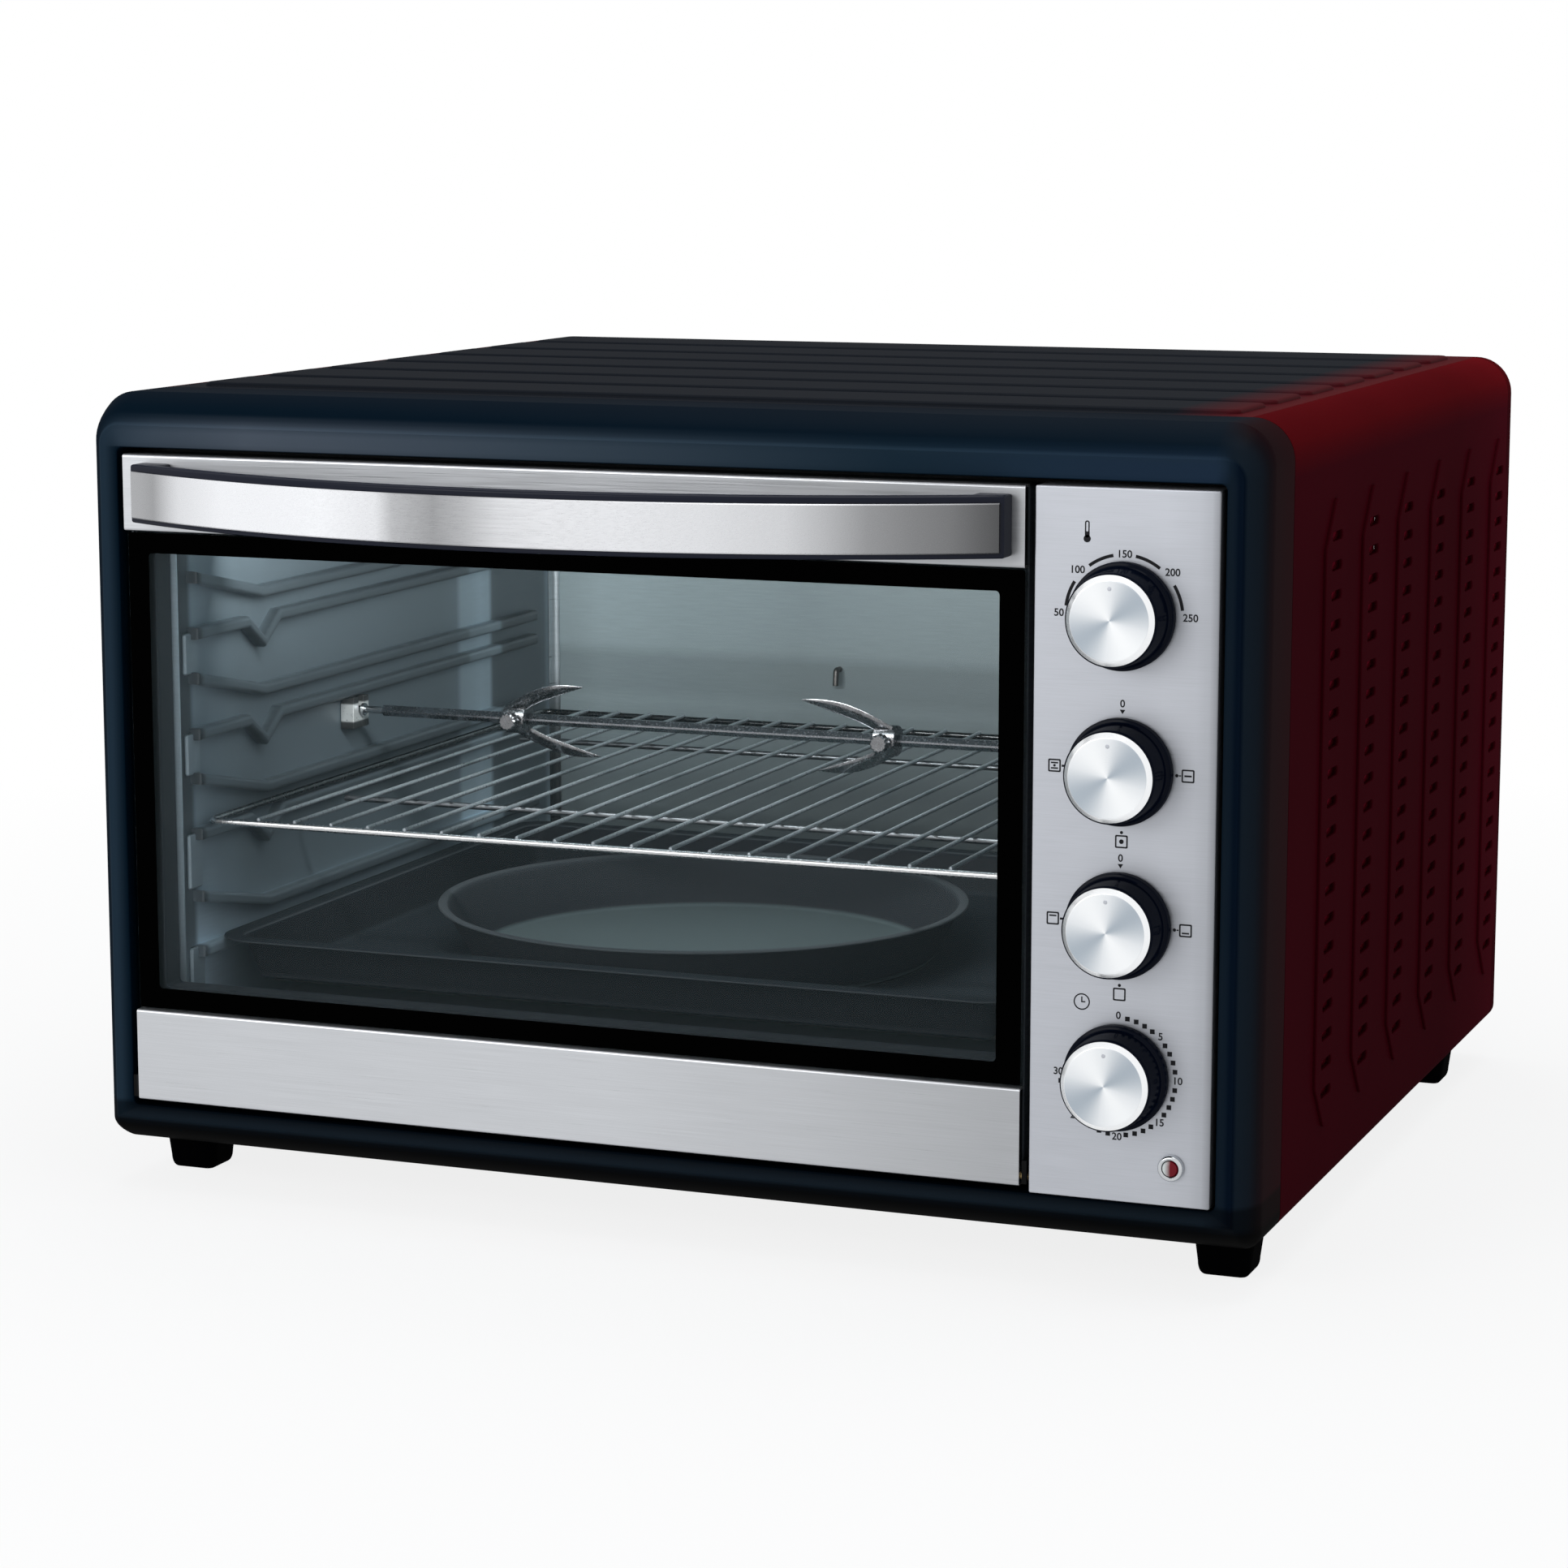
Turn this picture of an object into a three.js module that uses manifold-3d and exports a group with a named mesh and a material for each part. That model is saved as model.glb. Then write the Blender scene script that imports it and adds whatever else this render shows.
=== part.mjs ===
// Free-standing electric rotisserie oven: cased cavity, drop-down glass door, control panel with
// four knobs, motor-driven spit with two forks, wire rack, baking tray and round pan.
// Millimetres, +Z up. Inside the file x runs right from the left side, y runs back from the face
// of the door and z runs up from the underside of the casing; the last lines move all of it so
// that the origin is the middle of the base, on the surface that the feet stand on.
import * as THREE from "three";
import { mergeVertices } from "three/addons/utils/BufferGeometryUtils.js";
import Module from "manifold-3d";

const wasm = await Module();
wasm.setup();

// Driving dimensions of the casing
const bodyWidth = 600;
const bodyHeight = 379.5;
const bodyDepth = 543;
const topCornerRadius = 20;
const bottomCornerRadius = 9;
const sheet = 1;
const clearance = 0.3;
const overrun = 5;

// Front frame: widths seen from the front, and the steps of its moulded section
const frameLeftWidth = 18.5;
const frameRightWidth = 18;
const frameTopWidth = 26.5;
const frameBottomWidth = 21;
const frameDepth = 52;
const frameWall = 2.5;
const frameOpeningRadius = 3;
const frameFaceSetback = 1.5;
const frameCreaseSide = 10;
const frameCreaseTop = 15.5;
const frameCreaseBottom = 14.5;
const frameBevelSide = 1.2;
const frameBevelTop = 5;
const frameBevelBottom = 4.5;
const frameBevelDepth = 9;
const frameRoundDepth = 19;

// Door
const doorSideGap = 4;
const doorPanelGap = 4.7;
const doorBottomGap = 3.2;
const doorTopGap = 3.1;
const topRailHeight = 37.8;
const bottomRailHeight = 46.4;
const railDepth = 7;
const glassThickness = 4;
const doorFrameDepth = 14;
const doorFrameRadius = 2;
const doorBackGap = 1.7;
const windowLeftMargin = 13.1;
const windowRightMargin = 12.7;
const windowBottomMargin = 11.1;
const windowTopMargin = 11;
const windowRadius = 2;
const hingeInset = 4.3;
const hingeRise = 4.3;
const hingePinRadius = 2;
const hingeLugHalf = 3;
const hingeLugLength = 13;
const hingePinInDoor = 11;
const hingeEarThickness = 2.4;
const hingeEarDrop = 3.2;
const hingeEarRise = 8;
const hingePinHeadLength = 0.5;

// Handle: a bar bowed forward, with a bright strip along its face
const handleLeftMargin = 11;
const handleRightMargin = 6.2;
const handleLift = 5.3;
const handleHeight = 28.6;
const handleEndReach = 11;
const handleBow = 59;
const handleThickness = 8;
const handleEndLength = 16;
const stripThickness = 1.5;
const stripTopLip = 3.3;
const stripBottomLip = 2.5;
const stripEndLip = 1.5;
const handleSteps = 20;

// Control panel
const panelWidth = 86.6;
const panelSideGap = 2;
const panelTopGap = 2.7;
const panelBottomGap = 0.7;
const panelSkin = 1.2;
const knobFromPanelLeft = 42.3;
const topKnobDrop = 57.4;
const bottomKnobRise = 59;
const knobGap = 1;
const knobBaseRadius = 24.6;
const knobSkirtDepth = 5;
const knobNeckRadius = 21.4;
const knobDepth = 21;
const capRadius = 20.4;
const capThickness = 1.6;
const capProud = 1;
const spindleRadius = 3;
const spindleInKnob = 13;
const spindleInSwitch = 12;
const spindleHoleRadius = 4.5;
const lampFromPanelLeft = 68.4;
const lampRise = 18.4;
const lampRadius = 6.2;
const lampLensRadius = 4;
const lampProud = 2.6;
const lampStemLength = 9;
const lampDomeShare = 0.7;

// Switchgear behind the panel
const thermostatWidth = 36;
const thermostatHeight = 42;
const thermostatDepth = 30;
const switchRadius = 20;
const switchDepth = 28;
const timerWidth = 52;
const timerDepth = 34;

// Cavity
const cavityLeftInset = 19.5;
const cavityRightInset = 108.5;
const cavityFloorRise = 34.5;
const cavityCeilingDrop = 17.5;
const cavityBackGap = 72;
const mouthRadius = 4;

// Pressed runners of the side walls
const rackLevelRise = 107.2;
const runnerPitch = 51;
const trayLevelRise = 47;
const runnerReach = 7;
const runnerWidth = 6;
const slotHalfHeight = 4;
const runnerFrontInset = 8;
const runnerNeckDepth = 78;
const runnerBackInset = 34;
const runnerFlareRise = 14.5;
const runnerNotchHalf = 17;
const runnerNotchDrop = 12;

// Rack
const rackSideGap = 1.5;
const rackFrontInset = 17;
const rackBackGap = 22;
const rackFrameRadius = 2.5;
const rackWireRadius = 1.3;
const rackWirePitch = 20.5;
const rackBarSpacing = 95;
const rackSides = 6;

// Baking tray and round pan
const trayFrontInset = 20;
const trayBackGap = 48;
const trayRimWidth = 11;
const trayDepth = 22;
const trayWall = 1.2;
const trayDraft = 8;
const trayCornerRadius = 22;
const panRadius = 137;
const panBaseRadius = 121;
const panDepth = 29;
const panWall = 1.4;
const panRimWidth = 2.5;
const panCentreDepth = 174;
const panShift = 6.5;

// Spit, forks and drive
const spitDepth = 180;
const spitRise = 141;
const spitHalf = 3;
const spitJournalRadius = 2.5;
const spitJournalLength = 32;
const spitEndGap = 3;
const spitDiscRadius = 5;
const spitDiscLength = 3;
const spitDiscFromWall = 11;
const spitNutHalf = 3.8;
const spitNutLength = 7;
const spitNutFromWall = 17;
const supportReach = 8;
const supportHalfWidth = 9;
const supportDrop = 10;
const supportRise = 7;
const socketRadius = 8;
const socketReach = 7;
const socketDepthInMotor = 10;
const spitInSocket = 13;
const motorSize = 56;
const motorDepth = 34;
const forkLeftFromWall = 102;
const forkRightFromWall = 124;
const forkHubRadius = 8;
const forkHubLength = 12;
const forkHalfSpan = 25;
const forkProngLength = 38;
const forkWireRadius = 1.7;
const forkTilt = Math.PI / 4;
const screwRadius = 2;
const screwHeadRadius = 5.5;
const screwHeadLength = 6;
const screwProud = 1;

// Heating elements
const heaterRadius = 3.6;
const heaterFromCeiling = 13;
const heaterFromFloor = 11;
const heaterFrontInset = 95;
const heaterBackGap = 105;
const heaterStub = 10;

// Ribs of the top, channels of the sides, slots of the back, feet
const ribHeight = 2;
const ribEdge = 6;
const ribEndInset = 6;
const ribCount = 7;
const ribGap = 14;
const channelCount = 6;
const channelFrontInset = 57;
const channelBackInset = 3;
const channelWidth = 42;
const channelPress = 1.5;
const channelBottomRise = 29.5;
const channelTopDrop = 40;
const channelTip = 26;
const rearFlange = 12;
const rearSlotCount = 9;
const rearSlotWidth = 5;
const rearSlotHeight = 62;
const rearSlotPitch = 14;
const rearSlotTopDrop = 56;
const rearSlotSideInset = 60;
const footHeight = 22.5;
const footTop = 31;
const footBottom = 26;
const footRound = 6;
const footSideInset = 10;
const footFrontInset = 42;
const footRearInset = 56;
const footCornerRadius = 8;
const glandRadius = 8;
const glandLength = 12;
const glandFlangeRadius = 12;
const glandFlangeLength = 3;
const glandBoreRadius = 4;
const glandSideInset = 52;
const glandRise = 47.5;

// Facets of round shapes
const roundSides = 32;
const panSides = 48;
const smallSides = 16;
const cornerSteps = 4;

// Places that several pieces share
const openingLeft = frameLeftWidth;
const openingRight = bodyWidth - frameRightWidth;
const openingBottom = frameBottomWidth;
const openingTop = bodyHeight - frameTopWidth;
const doorLeft = openingLeft + doorSideGap;
const panelRight = openingRight - panelSideGap;
const panelLeft = panelRight - panelWidth;
const doorRight = panelLeft - doorPanelGap;
const doorBottom = openingBottom + doorBottomGap;
const doorTop = openingTop - doorTopGap;
const panelBottom = openingBottom + panelBottomGap;
const panelTop = openingTop - panelTopGap;
const topRailBottom = doorTop - topRailHeight;
const bottomRailTop = doorBottom + bottomRailHeight;
const windowLeft = doorLeft + windowLeftMargin;
const windowRight = doorRight - windowRightMargin;
const windowBottom = bottomRailTop + windowBottomMargin;
const windowTop = topRailBottom - windowTopMargin;
const doorFrameFront = railDepth + clearance;
const doorFrameBack = doorFrameFront + doorFrameDepth;
const glassBack = railDepth;
const glassFront = glassBack - glassThickness;
const hingeY = hingeInset;
const hingeZ = doorBottom + hingeRise;
const flangeFront = doorFrameBack + doorBackGap;
const flangeBack = flangeFront + sheet;
const returnBack = flangeFront - clearance;
const cavityLeft = openingLeft + cavityLeftInset;
const cavityRight = openingRight - cavityRightInset;
const cavityFloor = openingBottom + cavityFloorRise;
const cavityCeiling = openingTop - cavityCeilingDrop;
const cavityFront = flangeBack + clearance;
const cavityBack = bodyDepth - cavityBackGap;
const knobX = panelLeft + knobFromPanelLeft;
const knobNames = ["temperature", "upper_selector", "lower_selector", "timer"];
const knobSpread = panelTop - topKnobDrop - panelBottom - bottomKnobRise;
const knobPitch = knobSpread / (knobNames.length - 1);
const rackLevel = cavityFloor + rackLevelRise;
const trayLevel = cavityFloor + trayLevelRise;
const spitY = cavityFront + spitDepth;
const spitZ = cavityFloor + spitRise;
const heaterFrontY = cavityFront + heaterFrontInset;
const heaterBackY = cavityBack - heaterBackGap;
const heaterTopZ = cavityCeiling - heaterFromCeiling;
const heaterBottomZ = cavityFloor + heaterFromFloor;
const rearCoverFront = bodyDepth - rearFlange;

// Materials
const paint = (color, roughness, metalness) =>
  new THREE.MeshStandardMaterial({ color, roughness, metalness });
const blackPlastic = () => paint(0x151c24, 0.4, 0.1);
const redPaint = () => paint(0x5a0a0e, 0.38, 0.2);
const blackPaint = () => paint(0x23272c, 0.45, 0.2);
const brushedSteel = () => paint(0xc4c8cd, 0.32, 0.9);
const cavitySteel = () => paint(0x7f8d90, 0.4, 0.7);
const darkEnamel = () => paint(0x24282b, 0.3, 0.2);
const chrome = () => paint(0xd2d5d8, 0.12, 1);
const darkBar = () => paint(0x1d2230, 0.35, 0.2);
const clearGlass = () =>
  new THREE.MeshStandardMaterial({ color: 0x9fb0b4, transparent: true, opacity: 0.35 });

// Solids: three.js makes the shapes and manifold-3d joins and cuts them
function solid(geometry) {
  const bare = geometry.clone();
  bare.deleteAttribute("normal");
  bare.deleteAttribute("uv");
  const merged = mergeVertices(bare);
  return new wasm.Manifold(
    new wasm.Mesh({
      numProp: 3,
      vertProperties: new Float32Array(merged.attributes.position.array),
      triVerts: new Uint32Array(merged.index.array),
    }),
  );
}

function geometryOf(made) {
  const mesh = made.getMesh();
  const geometry = new THREE.BufferGeometry();
  geometry.setAttribute("position", new THREE.BufferAttribute(mesh.vertProperties, mesh.numProp));
  geometry.setIndex(new THREE.BufferAttribute(mesh.triVerts, 1));
  return geometry;
}

const join = (first, ...others) =>
  geometryOf(others.reduce((whole, part) => whole.add(solid(part)), solid(first)));
const cut = (base, ...tools) =>
  geometryOf(tools.reduce((whole, tool) => whole.subtract(solid(tool)), solid(base)));

// A closed surface with its faces turned outwards
function closed(positions, index) {
  const geometry = new THREE.BufferGeometry();
  geometry.setAttribute("position", new THREE.Float32BufferAttribute(positions, 3));
  geometry.setIndex(index);
  return outward(geometry);
}

function outward(geometry) {
  const index = geometry.index.array;
  const place = geometry.attributes.position;
  const corners = [new THREE.Vector3(), new THREE.Vector3(), new THREE.Vector3()];
  let volume = 0;
  for (let i = 0; i < index.length; i += 3) {
    corners.forEach((corner, j) => corner.fromBufferAttribute(place, index[i + j]));
    volume += corners[0].dot(corners[1].clone().cross(corners[2]));
  }
  if (volume < 0) {
    const turned = Array.from(index);
    for (let i = 0; i < turned.length; i += 3) {
      [turned[i + 1], turned[i + 2]] = [turned[i + 2], turned[i + 1]];
    }
    geometry.setIndex(turned);
  }
  return geometry;
}

const box = (x0, x1, y0, y1, z0, z1) =>
  new THREE.BoxGeometry(x1 - x0, y1 - y0, z1 - z0).translate(
    (x0 + x1) / 2,
    (y0 + y1) / 2,
    (z0 + z1) / 2,
  );

const rodX = (x0, x1, y, z, radius, sides = smallSides) =>
  new THREE.CylinderGeometry(radius, radius, x1 - x0, sides)
    .rotateZ(Math.PI / 2)
    .translate((x0 + x1) / 2, y, z);
const rodY = (y0, y1, x, z, radius, sides = smallSides) =>
  new THREE.CylinderGeometry(radius, radius, y1 - y0, sides).translate(x, (y0 + y1) / 2, z);

const pathShape = (points) => new THREE.Shape(points.map(([a, b]) => new THREE.Vector2(a, b)));
const plain = (depth) => ({ depth, bevelEnabled: false });

// Outlines in the YZ plane drawn out along X, in XZ along Y, and in XY along Z
const alongX = (points, x0, x1) =>
  new THREE.ExtrudeGeometry(pathShape(points), plain(x1 - x0))
    .applyMatrix4(
      new THREE.Matrix4().makeBasis(
        new THREE.Vector3(0, 1, 0),
        new THREE.Vector3(0, 0, 1),
        new THREE.Vector3(1, 0, 0),
      ),
    )
    .translate(x0, 0, 0);
const alongY = (points, y0, y1) =>
  new THREE.ExtrudeGeometry(pathShape(points), plain(y1 - y0))
    .rotateX(Math.PI / 2)
    .translate(0, y1, 0);
const alongZ = (points, z0, z1) =>
  new THREE.ExtrudeGeometry(pathShape(points), plain(z1 - z0)).translate(0, 0, z0);

// A profile of [radius, y] turned about an axis along Y
const turned = (profile, x, z, sides = roundSides) => {
  const points = profile.map(([radius, y]) => new THREE.Vector2(radius, y));
  const lathe = new THREE.LatheGeometry(points, sides);
  lathe.deleteAttribute("normal");
  lathe.deleteAttribute("uv");
  return dropSlivers(outward(mergeVertices(lathe))).translate(x, 0, z);
};

// Lathe faces that shrink to nothing on the axis are left out
function dropSlivers(geometry) {
  const index = geometry.index.array;
  const kept = [];
  for (let i = 0; i < index.length; i += 3) {
    const [a, b, c] = [index[i], index[i + 1], index[i + 2]];
    if (a !== b && b !== c && a !== c) kept.push(a, b, c);
  }
  geometry.setIndex(kept);
  return geometry;
}

// Rounded rectangle in plan: corner points in order, with its own radius at top and bottom
function outline({ x0, x1, z0, z1, top, bottom = top }) {
  const corners = [
    [x1 - bottom, z0 + bottom, bottom, -Math.PI / 2],
    [x1 - top, z1 - top, top, 0],
    [x0 + top, z1 - top, top, Math.PI / 2],
    [x0 + bottom, z0 + bottom, bottom, Math.PI],
  ];
  return corners.flatMap(([x, z, radius, start]) =>
    Array.from({ length: cornerSteps + 1 }, (_, i) => {
      const angle = start + (i / cornerSteps) * (Math.PI / 2);
      return [x + radius * Math.cos(angle), z + radius * Math.sin(angle)];
    }),
  );
}

const shrunk = (frame, side, top = side, bottom = side, left = side) => ({
  x0: frame.x0 + left,
  x1: frame.x1 - side,
  z0: frame.z0 + bottom,
  z1: frame.z1 - top,
  top: Math.max(frame.top - side, sheet),
  bottom: Math.max((frame.bottom ?? frame.top) - side, sheet),
});

// Rings of one outline each, joined in order. A hoop joins its last ring to its first; otherwise
// the first and last rings are capped.
function loft(rings, isHoop) {
  const count = rings[0].length;
  const positions = rings.flat(2);
  const index = [];
  const spans = isHoop ? rings.length : rings.length - 1;
  for (let ring = 0; ring < spans; ring += 1) {
    const next = (ring + 1) % rings.length;
    for (let i = 0; i < count; i += 1) {
      const j = (i + 1) % count;
      const [a, b] = [ring * count + i, ring * count + j];
      const [c, d] = [next * count + j, next * count + i];
      index.push(a, b, c, a, c, d);
    }
  }
  if (!isHoop) {
    const last = (rings.length - 1) * count;
    for (let i = 1; i < count - 1; i += 1) {
      index.push(0, i + 1, i, last, last + i, last + i + 1);
    }
  }
  return closed(positions, index);
}

// Loft stations stacked along Y, or along Z
const ringsAlongY = (stations) =>
  stations.map(([frame, y]) => outline(frame).map(([x, z]) => [x, y, z]));
const ringsAlongZ = (stations) =>
  stations.map(([frame, height]) => outline(frame).map(([x, y]) => [x, y, height]));

// A bent wire of one thickness along a smooth curve
function wire(points, radius, steps, sides = smallSides / 2) {
  const section = new THREE.Shape(
    Array.from({ length: sides }, (_, i) => {
      const angle = (i / sides) * 2 * Math.PI;
      return new THREE.Vector2(radius * Math.cos(angle), radius * Math.sin(angle));
    }),
  );
  const path = new THREE.CatmullRomCurve3(points.map((p) => new THREE.Vector3(...p)));
  return new THREE.ExtrudeGeometry(section, { steps, extrudePath: path });
}

const oven = new THREE.Group();
const add = (name, geometry, material) => {
  const mesh = new THREE.Mesh(geometry, material);
  mesh.name = name;
  oven.add(mesh);
  return mesh;
};

// Casing
const bodyOutline = {
  x0: 0,
  x1: bodyWidth,
  z0: 0,
  z1: bodyHeight,
  top: topCornerRadius,
  bottom: bottomCornerRadius,
};
const openingOutline = {
  x0: openingLeft,
  x1: openingRight,
  z0: openingBottom,
  z1: openingTop,
  top: frameOpeningRadius,
};

function frontFrame() {
  const crease = shrunk(bodyOutline, frameCreaseSide, frameCreaseTop, frameCreaseBottom);
  const bevel = shrunk(bodyOutline, frameBevelSide, frameBevelTop, frameBevelBottom);
  const inside = shrunk(bodyOutline, frameWall);
  const bevelInside = shrunk(
    bodyOutline,
    frameBevelSide + frameWall,
    frameBevelTop + frameWall,
    frameBevelBottom + frameWall,
  );
  const returnOutside = shrunk(openingOutline, -frameWall);
  const section = [
    [openingOutline, frameFaceSetback],
    [crease, 0],
    [bevel, frameBevelDepth],
    [bodyOutline, frameRoundDepth],
    [bodyOutline, frameDepth],
    [inside, frameDepth],
    [inside, frameRoundDepth + frameWall / 2],
    [bevelInside, frameBevelDepth + frameWall / 2],
    [crease, frameWall],
    [returnOutside, frameFaceSetback + frameWall],
    [returnOutside, returnBack],
    [openingOutline, returnBack],
  ];
  return loft(ringsAlongY(section), true);
}
add("front_frame", frontFrame(), blackPlastic());

// One side with its rounded shoulder and bottom edge; the same shape mirrored makes the other
const panelsFront = frameDepth + clearance;
const panelsBack = rearCoverFront - clearance;
const arc = (cx, cz, radius, from, to) =>
  Array.from({ length: cornerSteps * 2 + 1 }, (_, i) => {
    const angle = from + ((to - from) * i) / (cornerSteps * 2);
    return [cx + radius * Math.cos(angle), cz + radius * Math.sin(angle)];
  });

function sideShell() {
  const topCentre = [bodyWidth - topCornerRadius, bodyHeight - topCornerRadius];
  const bottomCentre = [bodyWidth - bottomCornerRadius, bottomCornerRadius];
  const section = [
    ...arc(...bottomCentre, bottomCornerRadius, -Math.PI / 2, 0),
    ...arc(...topCentre, topCornerRadius, 0, Math.PI / 2),
    ...arc(...topCentre, topCornerRadius - sheet, Math.PI / 2, 0),
    ...arc(...bottomCentre, bottomCornerRadius - sheet, 0, -Math.PI / 2),
  ];
  return alongY(section, panelsFront, panelsBack);
}

// Pressed channel: a tall panel with pointed ends, standing out from the side
const channelOutline = (y, inset) => {
  const bottom = channelBottomRise + inset;
  const top = bodyHeight - channelTopDrop - inset;
  const half = channelWidth / 2 - inset;
  return [
    [y - half, bottom + channelTip],
    [y, bottom],
    [y + half, bottom + channelTip],
    [y + half, top - channelTip],
    [y, top],
    [y - half, top - channelTip],
  ];
};

function channel(number) {
  const first = panelsFront + channelFrontInset + channelWidth / 2;
  const last = panelsBack - channelBackInset - channelWidth / 2;
  const y = first + ((last - first) * number) / (channelCount - 1);
  const foot = bodyWidth - sheet / 2;
  const ring = (inset, x) => channelOutline(y, inset).map(([py, pz]) => [x, py, pz]);
  return loft([ring(0, foot), ring(channelPress * 2, bodyWidth + channelPress)], false);
}

const rightSide = join(
  sideShell(),
  ...Array.from({ length: channelCount }, (_, i) => channel(i)),
);
const leftSide = outward(rightSide.clone().scale(-1, 1, 1).translate(bodyWidth, 0, 0));
add("side_panel_right", rightSide, redPaint());
add("side_panel_left", leftSide, redPaint());

// Top sheet between the shoulders, with wide raised ribs from side to side
function topPanel() {
  const left = topCornerRadius + clearance;
  const right = bodyWidth - topCornerRadius - clearance;
  const flat = box(left, right, panelsFront, panelsBack, bodyHeight - sheet, bodyHeight);
  const pitch = (panelsBack - panelsFront - ribGap) / ribCount;
  const rib = (number) => {
    const front = panelsFront + ribGap + number * pitch;
    const base = {
      x0: left + ribEndInset,
      x1: right - ribEndInset,
      z0: front,
      z1: front + pitch - ribGap,
      top: ribEdge,
    };
    return loft(
      ringsAlongZ([
        [base, bodyHeight - sheet / 2],
        [shrunk(base, ribHeight), bodyHeight + ribHeight],
      ]),
      false,
    );
  };
  return join(flat, ...Array.from({ length: ribCount }, (_, i) => rib(i)));
}
add("top_panel", topPanel(), blackPaint());

function rearCover() {
  const inner = shrunk(bodyOutline, sheet);
  const pan = loft(
    ringsAlongY([
      [inner, bodyDepth - sheet],
      [inner, rearCoverFront],
      [bodyOutline, rearCoverFront],
      [bodyOutline, bodyDepth],
    ]),
    false,
  );
  const slotTop = bodyHeight - rearSlotTopDrop;
  const slot = (x) =>
    box(
      x,
      x + rearSlotWidth,
      bodyDepth - sheet - overrun,
      bodyDepth + overrun,
      slotTop - rearSlotHeight,
      slotTop,
    );
  const places = Array.from({ length: rearSlotCount }, (_, i) => i * rearSlotPitch);
  const gland = rodY(
    bodyDepth - sheet - overrun,
    bodyDepth + overrun,
    bodyWidth - glandSideInset,
    glandRise,
    glandRadius + clearance,
  );
  return cut(
    pan,
    ...places.map((x) => slot(rearSlotSideInset + x)),
    ...places.map((x) => slot(bodyWidth - rearSlotSideInset - rearSlotWidth - x)),
    gland,
  );
}
add("rear_cover", rearCover(), redPaint());

const glandX = bodyWidth - glandSideInset;
add(
  "cord_gland",
  turned(
    [
      [glandBoreRadius, bodyDepth - glandLength],
      [glandRadius, bodyDepth - glandLength],
      [glandRadius, bodyDepth + clearance],
      [glandFlangeRadius, bodyDepth + clearance],
      [glandFlangeRadius, bodyDepth + clearance + glandFlangeLength],
      [glandBoreRadius, bodyDepth + clearance + glandFlangeLength],
      [glandBoreRadius, bodyDepth - glandLength],
    ],
    glandX,
    glandRise,
    smallSides,
  ),
  blackPlastic(),
);

add(
  "base_plate",
  box(
    bottomCornerRadius + clearance,
    bodyWidth - bottomCornerRadius - clearance,
    panelsFront,
    panelsBack,
    0,
    sheet,
  ),
  blackPaint(),
);

function foot(x, y) {
  const half = footTop / 2;
  const taper = (footTop - footBottom) / 2;
  const top = { x0: x - half, x1: x + half, z0: y - half, z1: y + half, top: footCornerRadius };
  return loft(
    ringsAlongZ([
      [top, -clearance],
      [shrunk(top, taper), footRound - footHeight],
      [shrunk(top, taper + footRound / 2), -footHeight],
    ]),
    false,
  );
}
const footLeftX = footSideInset + footTop / 2;
const footRightX = bodyWidth - footLeftX;
const footFrontY = footFrontInset + footTop / 2;
const footRearY = bodyDepth - footRearInset - footTop / 2;
add("foot_front_left", foot(footLeftX, footFrontY), blackPlastic());
add("foot_front_right", foot(footRightX, footFrontY), blackPlastic());
add("foot_rear_left", foot(footLeftX, footRearY), blackPlastic());
add("foot_rear_right", foot(footRightX, footRearY), blackPlastic());

// Steel plate behind the door and the panel, with the mouth of the cavity, the spindle holes
// and, at the foot of the door, one bent ear on each side that carries a hinge pin
const knobZ = (number) => panelTop - topKnobDrop - number * knobPitch;
const lampX = panelLeft + lampFromPanelLeft;
const lampZ = panelBottom + lampRise;
const earBetween = (middle) => [middle - hingeEarThickness / 2, middle + hingeEarThickness / 2];
const leftEar = earBetween((openingLeft + doorLeft) / 2);
const rightEar = earBetween((doorRight + panelLeft) / 2);

function frontPlate() {
  const edge = shrunk(openingOutline, -frameWall * 2);
  const mouth = {
    x0: cavityLeft,
    x1: cavityRight,
    z0: cavityFloor,
    z1: cavityCeiling,
    top: mouthRadius,
  };
  const plate = loft(
    ringsAlongY([
      [edge, flangeFront],
      [edge, flangeBack],
      [mouth, flangeBack],
      [mouth, flangeFront],
    ]),
    true,
  );
  const ears = [leftEar, rightEar].map(([x0, x1]) =>
    box(
      x0,
      x1,
      hingeY - hingePinRadius - hingeEarDrop / 2,
      flangeFront + sheet / 2,
      hingeZ - hingeEarDrop,
      hingeZ + hingeEarRise,
    ),
  );
  const pinHoles = rodX(
    leftEar[0] - overrun,
    rightEar[1] + overrun,
    hingeY,
    hingeZ,
    hingePinRadius + clearance,
  );
  const spindleHoles = knobNames.map((_, i) =>
    rodY(flangeFront - overrun, flangeBack + overrun, knobX, knobZ(i), spindleHoleRadius),
  );
  return cut(join(plate, ...ears), pinHoles, ...spindleHoles);
}
add("front_plate", frontPlate(), blackPaint());

// Cavity: side walls with pressed runners, ceiling, floor and back
const wallBottom = cavityFloor + clearance;
const wallTop = cavityCeiling - clearance;
const wallBack = cavityBack;

// The upper runner of a slot is level from the back to the neck and flares up to the mouth
function upperRunner(level) {
  const inner = level + slotHalfHeight;
  const outer = inner + runnerWidth;
  const front = cavityFront + runnerFrontInset;
  const neck = cavityFront + runnerNeckDepth;
  const back = cavityBack - runnerBackInset;
  return [
    [front, inner + runnerFlareRise],
    [neck, inner],
    [back, inner],
    [back, outer],
    [neck, outer],
    [front, outer + runnerFlareRise],
  ];
}

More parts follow.
